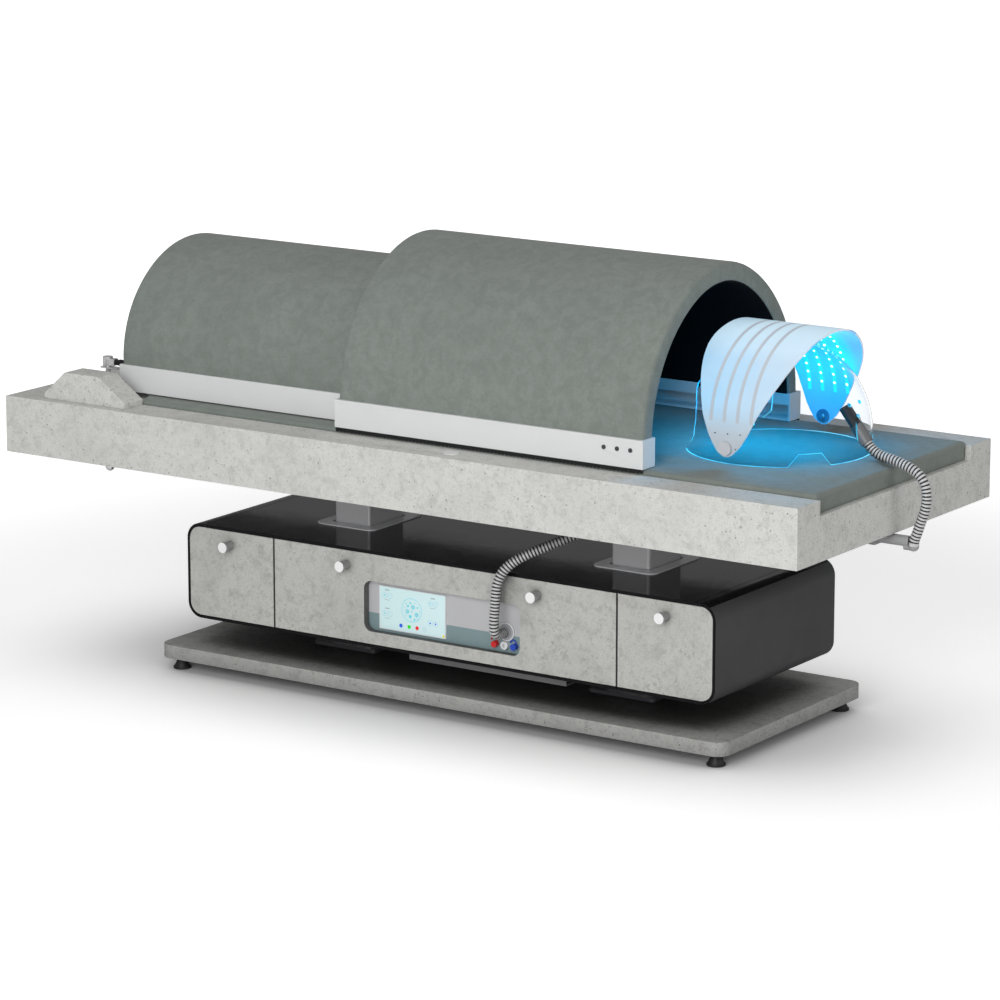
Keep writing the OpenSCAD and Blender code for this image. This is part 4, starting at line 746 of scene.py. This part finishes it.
def archLine(sizes, inset):
    a, b, rs = sizes["halfWidth"], sizes["crown"], sizes["sideRadius"]
    h = ((rs - a) ** 2 - (rs - b) ** 2) / (2 * (rs - b))
    lean = math.atan2(abs(h), abs(a - rs))
    foot = math.asin((sizes["footZ"] - sizes["centreZ"]) / (rs - inset))
    line = []
    for cx, cz, r, start, end in ((a - rs, 0, rs - inset, foot, lean), (0, h, b - h - inset, lean, math.pi - lean),
                                  (rs - a, 0, rs - inset, math.pi - lean, math.pi - foot)):
        for k in range(coverLook["perArc"]):
            t = start + (end - start) * k / coverLook["perArc"]
            line.append((cx + r * math.cos(t), sizes["centreZ"] + cz + r * math.sin(t)))
    return line + [(-line[0][0], line[0][1])]


def corner(x, depth, radius, start, step, count):  # (x, depth) round one corner of a wall's section
    turns = [math.radians(start + step * k) for k in range(count)]
    return [(x + radius * math.cos(t), depth + radius * math.sin(t)) for t in turns]


def coverMesh(name, sizes):
    look = coverLook
    outer, inner = archLine(sizes, 0.0), archLine(sizes, sizes["wall"])
    x0, x1, wall, edge, small = sizes["fromX"], sizes["toX"], sizes["wall"], sizes["edge"], look["innerEdge"]
    spans, innerSpans = look["outerSpans"], look["innerSpans"]
    edgeTurn, innerTurn = look["edgeTurn"], look["innerTurn"]
    loop = corner(x0 + edge, edge, edge, 180, *edgeTurn)
    loop += [(x0 + edge + (x1 - x0 - 2 * edge) * k / spans, 0.0) for k in range(1, spans)]
    loop += corner(x1 - edge, edge, edge, -90, *edgeTurn) + corner(x1 - small, wall - small, small, 0, *innerTurn)
    loop += [(x1 - small - (x1 - x0 - 2 * small) * k / innerSpans, wall) for k in range(1, innerSpans)]
    loop += corner(x0 + small, wall - small, small, 90, *innerTurn)
    verts, faces, n, rows = [], [], len(loop), len(outer)
    for i in range(rows):
        (oy, oz), (iy, iz) = outer[i], inner[i]
        tuck = look["tuck"] * (1 - smooth(min(i, rows - 1 - i) / look["tuckRows"]))  # where it meets the skirt
        for x, depth in loop:
            depth = tuck + depth * (wall - tuck) / wall
            here = Vector((x, oy + (iy - oy) * depth / wall, oz + (iz - oz) * depth / wall))
            if depth < wall * 0.5:
                at = Vector((x / look["swellX"], here.y / look["swellYZ"], here.z / look["swellYZ"]))
                away = Vector((0, oy - iy, oz - iz)).normalized()
                here = here - away * (look["inward"] - noise.noise(at) * look["swell"] * 0.5)
            verts.append(place(*here))
    for i in range(rows - 1):
        faces += band(range(i * n, (i + 1) * n), range((i + 1) * n, (i + 2) * n))
    faces += [tuple(range(n)), tuple(reversed([(rows - 1) * n + j for j in range(n)]))]
    mesh = meshOf(name, verts, faces, turn=True)
    mesh.set_sharp_from_angle(angle=math.radians(look["sharp"]))
    return mesh


largeCover = addPiece("largeCover", coverMesh("largeCover", largeSizes), "large_cover", ["suedeCover"], True)
smallCover = addPiece("smallCover", coverMesh("smallCover", smallSizes), "small_cover", ["suedeCover"], True)
dress("large_liner small_liner", "liningBlack", 0.0006)
dress("large_skirts small_skirts", "skirtPaint", 0.0012, segments=3)
dress("large_glides small_glides", "stripRubber", 0.0)
dress("button_one button_two button_three", "buttonDark", segments=3)
print("stage: domes")


# Pad

padSizes = {"footX": -976.5, "endX": 1063.0, "halfY": 331.5, "ledgeX": -792.0, "slope": 45.0, "ledgeY": 236.0,
            "gap": 3.5, "edgeZ": 648.0, "bottomZ": 604.3, "crown": 8.0, "strip": 98.0, "rise": 26.0, "flat": 12.0,
            "round": 10.0, "roundFall": 0.98, "ripple": 0.45, "rippleSpan": 90,
            "draw": 2.5, "drawSpan": 1.02, "lowDraw": 3.0, "lowFrom": 0.86, "levels": 7,
            "near": [0.0, 1.2, 3.0, 5.5, 8.0, 10.0, 16.0, 26.0], "step": 14.0, "lastStep": 40.0, "margin": 30.0,
            "columns": 44, "sharp": 60, "endReach": 1, "sideReach": 10}


def padNear(x):
    s = padSizes
    t = (x - s["ledgeX"] - s["gap"]) / s["slope"]
    return -s["ledgeY"] + s["gap"] - min(max(t, 0), 1) * (s["halfY"] - s["ledgeY"] + s["gap"])


def padTop(x, y):
    s = padSizes
    side = min(y - padNear(x), s["halfY"] - y)
    end = min(x - s["footX"], s["endX"] - x)
    d = max(min(side, end), 0)
    fall = 0 if d >= s["round"] else s["round"] - math.sqrt(s["round"] ** 2 - (s["round"] - d) ** 2)
    along = min(x - s["ledgeX"] - s["slope"] - s["gap"], s["endX"] - x)
    crown = (smooth((s["halfY"] - abs(y) - s["strip"]) / s["rise"]) * smooth((along - s["flat"]) / s["rise"])
             * smooth((side - s["flat"]) / s["rise"]))
    ripple = noise.noise(Vector((x / s["rippleSpan"], y / s["rippleSpan"], 0.3))) * s["ripple"] * crown
    return s["edgeZ"] - fall * s["roundFall"] + s["crown"] * crown + ripple


def padMesh(name):
    s = padSizes
    near = s["near"]
    xs = [s["footX"] + d for d in near]
    middle = xs[-1]
    while middle < s["endX"] - s["lastStep"]:
        middle += s["step"]
        xs.append(middle)
    xs += [s["ledgeX"] + s["gap"], s["ledgeX"] + s["gap"] + s["slope"]] + [s["endX"] - d for d in near]
    verts, faces, rows = [], [], []
    for x in sorted(set(round(x, 3) for x in xs)):
        y0, y1, m = padNear(x), s["halfY"], s["margin"]
        ys = [y0 + d for d in near] + [y1 - d for d in near]
        ys += [y0 + m + (y1 - y0 - 2 * m) * (k / s["columns"]) for k in range(1, s["columns"])]
        ys = sorted(set(round(y, 3) for y in ys))
        rows.append([len(verts) + k for k in range(len(ys))])
        verts += [Vector((x, y, padTop(x, y))) for y in ys]
    for a, b in zip(rows, rows[1:]):
        faces += [(a[k], a[k + 1], b[k + 1], b[k]) for k in range(len(a) - 1)]
    rim = rows[0][::-1][:-1] + [r[0] for r in rows[:-1]] + rows[-1][:-1] + [r[-1] for r in rows[::-1]][:-1]
    rim = list(dict.fromkeys(rim))
    previous = rim
    middleX, halfX = (s["footX"] + s["endX"]) / 2, (s["endX"] - s["footX"]) / 2
    for level in range(1, s["levels"] + 1):
        t = level / s["levels"]
        pull = s["draw"] * math.sin(math.pi * min(t * s["drawSpan"], 1.0))
        pull += s["lowDraw"] * max(0, t - s["lowFrom"]) / (1 - s["lowFrom"])
        ring = []
        for index in rim:
            x, y, z = verts[index]
            if abs(x - middleX) > halfX - s["endReach"]:
                x -= math.copysign(pull, x - middleX)
            if abs(y) > s["ledgeY"] - s["sideReach"]:
                y -= math.copysign(pull, y)
            ring.append(len(verts))
            verts.append(Vector((x, y, z + (s["bottomZ"] - z) * t)))
        faces += band(previous, ring)
        previous = ring
    faces.append(tuple(previous))
    mesh = meshOf(name, [place(*v) for v in verts], faces, turn=True)
    mesh.set_sharp_from_angle(angle=math.radians(s["sharp"]))
    return mesh


padPiece = addPiece("padCushion", padMesh("padCushion"), "pad", ["suedePad"], True)
print("stage: pad")


# Base, cabinet and lift

splitSizes = {"columnZ": 0.125, "collarZ": 0.2, "footZ": 0.0242, "capX": 0.2133 + seatX, "socketZ": 0.1887}
turnSizes = {"face": 0.6, "front": -0.5, "level": 0.8}  # how far a face is turned to an axis


# the faces that take the painted gap shade: those that don't look forwards or back
def edgeFace(face):
    return 1 if abs(face.normal.y) < turnSizes["face"] else 0


def capFace(face):
    return 1 if face.normal.y < turnSizes["front"] or abs(face.normal.z) > turnSizes["level"] else 0


# the grey finish on every face that doesn't look forwards: the stem's own grey, and painted shade on the white cap's
# side
def stemOrShadedSide(face):
    return 0 if face.normal.y < turnSizes["front"] else 1


dress("base_plate", "concreteBase", 0.0012, segments=3)
dress("drawer_foot_front drawer_head_front service_front cabinet_back", "concreteCabinet concreteEdge", 0.0, edgeFace)
dress("cabinet_top cabinet_bottom", "shellGloss", 0.0006)
dress("cabinet_cap_foot cabinet_cap_head", "capSatin shellGloss", 0.0010, capFace, segments=3)
dress("cabinet_frame drawer_foot_box drawer_head_box", "drawerPaint", 0.0006)
dress("outer_columns mid_columns inner_columns", "columnMetal actuatorPaint", 0.0006,
      splitAt(2, splitSizes["columnZ"]))
dress("column_collars", "collarPlastic panelGrey", 0.0006, splitAt(2, splitSizes["collarZ"]))
for node, finish in (
        ("actuator_tubes", "actuatorPaint"), ("cable_tray", "trayGrey"), ("table_frame", "frameSteel"),
        ("table_underside", "panelGrey"), ("console", "consolePlastic"), ("touch_screen", "screenGlass"),
        ("hose_bracket", "pipePlastic"), ("call_button", "buttonWhite")):
    dress(node, finish, 0.0006)
dress("drawer_foot_knob drawer_head_knob service_knob_foot service_knob_head", "knobWhite knobStem", 0.0010,
      stemOrShadedSide, segments=3)
dress("foot_near_foot foot_near_head foot_far_foot foot_far_head", "footRubber footStem", 0.0008,
      splitAt(2, splitSizes["footZ"], 0))
dress("jack_caps", "capBlue capRed", 0.0009, splitAt(0, splitSizes["capX"]))
dress("console_sockets", "socketGrey socketWhite", 0.0006, splitAt(2, splitSizes["socketZ"]))
print("stage: cabinet")


# Table

dress("table_top", "concreteTable", 0.0012, segments=3)
dress("stop_block", "concreteTable", 0.0016, segments=3)
dress("latch_post", "chrome", 0.0008)
dress("latch_screw", "blackMetal", 0.0006)

knurlSizes = {"fromX": -875.5, "toX": -853.4, "y": -262.0, "z": 712.0, "radius": 7.0, "ribs": 20,
              "ribRadius": 0.0011}
s = knurlSizes
knurlPlaces = [place((s["fromX"] + s["toX"]) / 2, s["y"] + s["radius"] * c, s["z"] + s["radius"] * d)
               for c, d in circle(s["ribs"])]
heads("screwKnurl", "latch_screw", knurlPlaces, [(1, 0, 0)] * len(knurlPlaces), "blackMetal", s["ribRadius"],
      (s["toX"] - s["fromX"]) / 1000, topShare=1.0, sides=6)
print("stage: table")


# Console: made-up plain controls on the screen, rings and pins on the sockets


def flatMesh(name, shapes, y):
    # discs, rings and bars on one plane that faces the near side; each is (kind, x, z, size, size, slot)
    verts, faces, index = [], [], []
    for kind, x, z, big, little, slot in shapes:
        start = len(verts)
        if kind == "bar":
            corners = [(-big, -little), (big, -little), (big, little), (-big, little)]
            verts += [place(x + dx, y, z + dz) for dx, dz in corners]
            faces.append((start, start + 1, start + 2, start + 3))
            index.append(slot)
            continue
        sides = discSizes["fineSides"] if big > discSizes["fineFrom"] else discSizes["sides"]
        ring = circle(sides)
        verts += [place(x + big * c, y, z + big * s) for c, s in ring]
        if kind == "disc":
            faces.append(tuple(range(start, start + sides)))
            index.append(slot)
        else:
            verts += [place(x + little * c, y, z + little * s) for c, s in ring]
            faces += band(range(start, start + sides), range(start + sides, start + 2 * sides))
            index += [slot] * sides
    mesh = meshOf(name, verts, faces, False)
    for face, slot in zip(mesh.polygons, index):
        face.material_index = slot
    return mesh


discSizes = {"fineFrom": 3, "fineSides": 40, "sides": 20}
inks = ["inkCyan", "inkYellow", "inkPale", "inkBlue", "inkGreen", "inkRed", "inkGrey"]
cyan, yellow, pale, blue, green, red, grey = range(len(inks))
screenMarks = {"y": -241.25, "centre": (-42.0, 223.0), "ring": (28.0, 26.9),
               "bubbles": [(-4, 17, 2.6), (-10, 9, 2.9), (4, 8, 5.0), (-21, 5, 1.2), (-12, -4, 5.2), (1, -3, 1.8),
                           (16, 8, 2.2), (14, -9, 5.2), (-4, -15, 3.9), (-16, -13, 1.3), (8, -21, 2.6),
                           (23, -1, 1.2), (17, -19, 1.3), (-15, 14, 1.4), (9, 18, 1.2), (-1, -25, 1.2)],
               "ringed": 4.5, "bubbleWall": 0.55, "bubbleCore": 0.4,
               "pairs": [(-110, 249, "level"), (-110, 206, "level"), (17.0, 246, "level"), (17.0, 200, "play")],
               "pairSide": 7.6, "pairRing": (6.8, 6.2), "plus": 2.1, "minus": (2.4, 0.5),
               "title": (12.5, 6.0, 1.2), "note": (-10.5, 7.5, 0.5),
               "rowZ": 183.2, "row": [("disc", -72, 4.6, 0, blue), ("disc", -49, 4.6, 0, green),
                                      ("disc", -27, 4.6, 0, red), ("ring", -6, 5.6, 5.0, pale),
                                      ("disc", -6, 1.0, 0, grey)],
               "corner": ("disc", 45.8, 174.6, 3.0, 0, yellow)}


def screenShapes(s):
    middleX, middleZ = s["centre"]
    shapes = [("ring", middleX, middleZ, *s["ring"], cyan)]
    for dx, dz, r in s["bubbles"]:
        ringed = r > s["ringed"]
        shapes.append(("ring" if ringed else "disc", middleX + dx, middleZ + dz, r, r * s["bubbleWall"], cyan))
        if ringed:
            shapes.append(("disc", middleX + dx, middleZ + dz, r * s["bubbleCore"], 0, pale))
    for x, z, use in s["pairs"]:
        for side in (-s["pairSide"], s["pairSide"]):
            shapes.append(("ring", x + side, z, *s["pairRing"], pale))
            if side < 0 or use == "play":
                shapes.append(("disc", x + side, z, s["plus"], 0, blue if use == "play" else cyan))
            else:
                shapes.append(("bar", x + side, z, *s["minus"], cyan))
        if use == "level":
            shapes += [("bar", x, z + dz, wide, high, grey) for dz, wide, high in (s["title"], s["note"])]
    shapes += [(kind, x, s["rowZ"], big, little, ink) for kind, x, big, little, ink in s["row"]]
    return shapes + [s["corner"]]


addPiece("screenMarks", flatMesh("screenMarks", screenShapes(screenMarks), screenMarks["y"]), "touch_screen", inks)

screenFrame = {"x": (-132.2, 52.9), "z": (168.9, 270.5), "y": (-238.0, -241.6), "lip": 1.7}


def frameMesh(name, sizes):
    (xa, xb), (za, zb), (ya, yb), lip = sizes["x"], sizes["z"], sizes["y"], sizes["lip"]
    verts, faces = [], []
    for ox, oz, dx, dz in ((xa, za, lip, lip), (xb, za, -lip, lip), (xb, zb, -lip, -lip), (xa, zb, lip, -lip)):
        ix, iz = ox + dx, oz + dz
        verts += [place(ox, ya, oz), place(ox, yb, oz), place(ix, yb, iz), place(ix, ya, iz)]
    for k in range(4):
        j = (k + 1) % 4
        faces += [(4 * k + m, 4 * j + m, 4 * j + (m + 1) % 4, 4 * k + (m + 1) % 4) for m in range(4)]
    return meshOf(name, verts, faces, False, True)


addPiece("screenFrame", frameMesh("screenFrame", screenFrame), "touch_screen", ["socketWhite"])

socketSizes = {"x": 217.3, "z": 210.0, "y": -240.6, "radius": 20.0, "thick": 1.8, "steps": 64, "sides": 12}


def ringMesh(name, sizes):  # a round bar bent to a circle, in the plane that faces the near side
    x, y, z, steps, sides = sizes["x"], sizes["y"], sizes["z"], sizes["steps"], sizes["sides"]
    verts = []
    for c, s in circle(steps):
        for out, back in circle(sides):
            r = sizes["radius"] + sizes["thick"] * out
            verts.append(place(x + r * c, y + sizes["thick"] * back, z + r * s))
    rows = [range(i * sides, (i + 1) * sides) for i in range(steps)]
    faces = [face for a, b in zip(rows, rows[1:] + rows[:1]) for face in band(a, b)]
    return meshOf(name, verts, faces, True, True)


addPiece("socketRing", ringMesh("socketRing", socketSizes), "console_sockets", ["socketWhite"])

pinSizes = {"x": 215.3, "y": -239.4, "z": 179.0, "circle": 2.3, "count": 5, "radius": 0.0005, "length": 0.0036}
s = pinSizes
pinPlaces = [place(s["x"] + s["circle"] * c, s["y"], s["z"] + s["circle"] * d) for c, d in circle(s["count"])]
heads("socketPins", "console_sockets", pinPlaces, [(0, -1, 0)] * len(pinPlaces), "pinBrass", s["radius"],
      s["length"], topShare=0.6, sides=8)
print("stage: console")


# Head unit

hoodSizes = {"axisX": 0.7775 + seatX, "ballZ": 0.6998, "cut": 0.6}
headSizes = {"visorX": 773.4, "pivotZ": 692.3, "halfWidth": 213.5, "crown": 194.3, "lobeZ": 739.8,
             "ledX": 734.0, "ledPitch": 32.8, "ledZ": 753.8, "strips": 4, "dotInset": 6.6, "dotPitch": 21.0,
             "dotRadius": 0.0030, "headHeight": 0.0014, "screwRadius": 0.0016, "startAngle": 0.06,
             "angleStep": 0.004, "screws": ((-31.5, 31), (0, 32), (31.5, 33), (-18, 0), (19.8, 0)),
             "screwY": 213.8, "side": 0.3}


def hoodEdge(face):  # a cut edge of the hood's wall, where light gathers
    at = face.calc_center_median()
    radial = Vector((at.x - hoodSizes["axisX"], at.y, max(at.z - hoodSizes["ballZ"], 0.0))).normalized()
    return 1 if abs(face.normal.dot(radial)) < hoodSizes["cut"] else 0


def visorSide(face):  # 0 for the faces that look outwards, 1 for those that look inwards, 2 for the rim
    at = face.calc_center_median()
    radial = Vector((0, at.y, max(at.z - headSizes["lobeZ"] / 1000, 0.0))).normalized()
    facing = face.normal.dot(radial)
    return 1 if facing < -headSizes["side"] else 0 if facing > headSizes["side"] else 2


hood = dress("hood", "acrylic acrylicEdge", 0.0, hoodEdge, 40)
dress("hood_pivots", "pivotBlue")
dress("nozzle_cuff", "nozzleGrey", 0.0012, segments=3)
dress("nozzle_tip", "nozzleDark", 0.0012, segments=3)
dress("visor_knob_near visor_knob_far", "clampWhite", 0.0012, segments=3)
dress("visor_shell", "visorShell visorInner visorRim", 0.0009, visorSide, 40, 3)
dress("visor_leds", "ledStrip", 0.0)


def visorArc(s, angle):  # (y, z) on the line of lights, measured from the +Y side
    inset = s["dotInset"]
    return ((s["halfWidth"] - inset) * math.cos(angle), s["lobeZ"] + (s["crown"] - inset) * math.sin(angle))


def lightDots(s):  # the lights' places, evenly spaced along the strips, and which way they face
    places, ways = [], []
    for strip in range(s["strips"]):
        walked, angle = 0.0, s["startAngle"]
        last = visorArc(s, angle)
        while angle < math.pi - s["startAngle"]:
            angle += s["angleStep"]
            here = visorArc(s, angle)
            walked += math.dist(here, last)
            last = here
            if walked >= s["dotPitch"] and here[1] > s["ledZ"]:
                walked = 0.0
                places.append(place(s["ledX"] + strip * s["ledPitch"], *here))
                ways.append(Vector((0, -here[0] / s["halfWidth"] ** 2,
                                    -(here[1] - s["lobeZ"]) / s["crown"] ** 2)).normalized())
    return places, ways


s = headSizes
dotPlaces, dotWays = lightDots(s)
heads("ledDots", "visor_leds", dotPlaces, dotWays, "ledDot", s["dotRadius"], s["headHeight"], topShare=0.6, sides=10)
screwPlaces = [place(s["visorX"] + dx, side * s["screwY"], s["pivotZ"] + dz)
               for side in (-1, 1) for dx, dz in s["screws"]]
screwWays = [(0, math.copysign(1, at.y), 0) for at in screwPlaces]
heads("visorScrews", "visor_shell", screwPlaces, screwWays, "screwDark", s["screwRadius"], s["headHeight"],
      topShare=0.7)
print("stage: head unit,", len(dotPlaces), "lights")


# Floor, world and lamps

studioSizes = {"floorHalf": 45, "floorZ": -0.0006, "floorWhite": (0.90, 0.90, 0.90), "floorShade": (0.7, 0.7, 0.7),
               "mottle": (3.0, 3, 0.5, 0.0, 0.3, 0.7, 0.0, 0.03), "lift": (1.5, 4.0, 0.45, 1.0), "reach": 0.62,
               "shadow": (0.25, 0.95), "worldGrey": 0.28, "underGlass": 0.03}
white = (1, 1, 1, 1)


def straightOf(tree):  # a camera ray, or one that has only passed through the clear hood
    path = addNode(tree, "ShaderNodeLightPath").outputs
    bounced = mathOf(tree, "GREATER_THAN", path["Diffuse Depth"], 0.5)
    through = times(tree, path["Is Transmission Ray"], mathOf(tree, "SUBTRACT", 1.0, bounced))
    shaded = times(tree, path["Is Transmission Ray"], bounced)
    return mathOf(tree, "MAXIMUM", path["Is Camera Ray"], through), shaded


s = studioSizes
half, low = s["floorHalf"], s["floorZ"]
floorMesh = meshOf("floor", [(-half, -half, low), (half, -half, low), (half, half, low), (-half, half, low)],
                   [(0, 1, 2, 3)], False)
floor = linked(bpy.data.objects.new("floor", floorMesh))
tree, shader = newMaterial("floorPaint", {"Roughness": 0.75, "Specular IOR Level": 0.1})
at = placeOf(tree)
mottle = maskOf(tree, at, *s["mottle"])
feed(shader, Base_Color=mixColour(tree, mottle, s["floorWhite"], s["floorShade"]))
away = addNode(tree, "ShaderNodeVectorMath", {0: at}, operation="LENGTH").outputs["Value"]
# painted shadow: the white lift fades where something stands close to the floor, on top of the lamps' real shadows
clear = addNode(tree, "ShaderNodeAmbientOcclusion", {"Distance": s["reach"]}, samples=nookSamples).outputs["AO"]
rise = times(tree, ramp(tree, away, *s["lift"]), ramp(tree, clear, *s["shadow"]))
lift = addNode(tree, "ShaderNodeEmission", {"Color": white, "Strength": times(tree, straightOf(tree)[0], rise)})
both = addNode(tree, "ShaderNodeAddShader", {0: shader.outputs[0], 1: lift.outputs[0]})
sink = next(n for n in tree.nodes if n.type == "OUTPUT_MATERIAL")
feed(sink, Surface=both.outputs[0])
floorMesh.materials.append(finishes["floorPaint"])

world = bpy.data.worlds.new("studioWorld")
bpy.context.scene.world = world
world.use_nodes = True
tree = world.node_tree
tree.nodes.clear()
straight, shaded = straightOf(tree)
darker = times(tree, shaded, s["worldGrey"] - s["underGlass"])
strength = mathOf(tree, "ADD", mathOf(tree, "SUBTRACT", s["worldGrey"], darker),
                  times(tree, straight, 1.0 - s["worldGrey"]))
sky = addNode(tree, "ShaderNodeBackground", {"Color": white, "Strength": strength})
addNode(tree, "ShaderNodeOutputWorld", {"Surface": sky.outputs[0]})

lampSizes = {
    "keyLamp": {"place": (2.2, -6.6, 2.5), "aim": (0.0, 0.0, 0.5), "size": 4.2, "power": 300.0},
    "endLamp": {"place": (5.6, 0.6, 2.4), "aim": (0.3, 0.0, 0.6), "size": 2.6, "power": 42.0},
    "topLamp": {"place": (-0.6, -0.4, 4.6), "aim": (0.0, 0.0, 0.6), "size": 3.6, "power": 34.0},
}
glowSizes = {
    "crownGlow": {"place": place(772, 0, 862), "aim": place(772, 0, 640), "size": 0.24, "power": 1.85},
    "tunnelGlow": {"place": place(690, 0, 800), "aim": place(420, 0, 680), "size": 0.16, "power": 0.42},
}
glowColour = (0.004, 0.46, 1.0)


def addLamp(name, shape, s):
    data = bpy.data.lights.new(name, "AREA")
    data.shape = shape
    data.size = s["size"]
    data.energy = s["power"]
    lamp = linked(bpy.data.objects.new(name, data))
    lamp.location = s["place"]
    lamp.rotation_euler = (Vector(s["aim"]) - Vector(s["place"])).to_track_quat("-Z", "Y").to_euler()
    lamp.visible_camera = False
    lamp.visible_transmission = False
    return lamp


for name, s in lampSizes.items():
    addLamp(name, "SQUARE", s)
unseen = bpy.data.collections.new("clearOfGlow")  # the clear hood doesn't hold back the blue light
unseen.objects.link(hood)
unseen.collection_objects[0].light_linking.link_state = "EXCLUDE"
for name, s in glowSizes.items():
    lamp = addLamp(name, "DISK", s)
    lamp.data.color = glowColour
    lamp.parent = frame["bodies"]["visor"]
    lamp.visible_glossy = False
    lamp.light_linking.blocker_collection = unseen
bpy.context.scene.view_settings.view_transform = "Standard"
print("stage: floor and lamps")
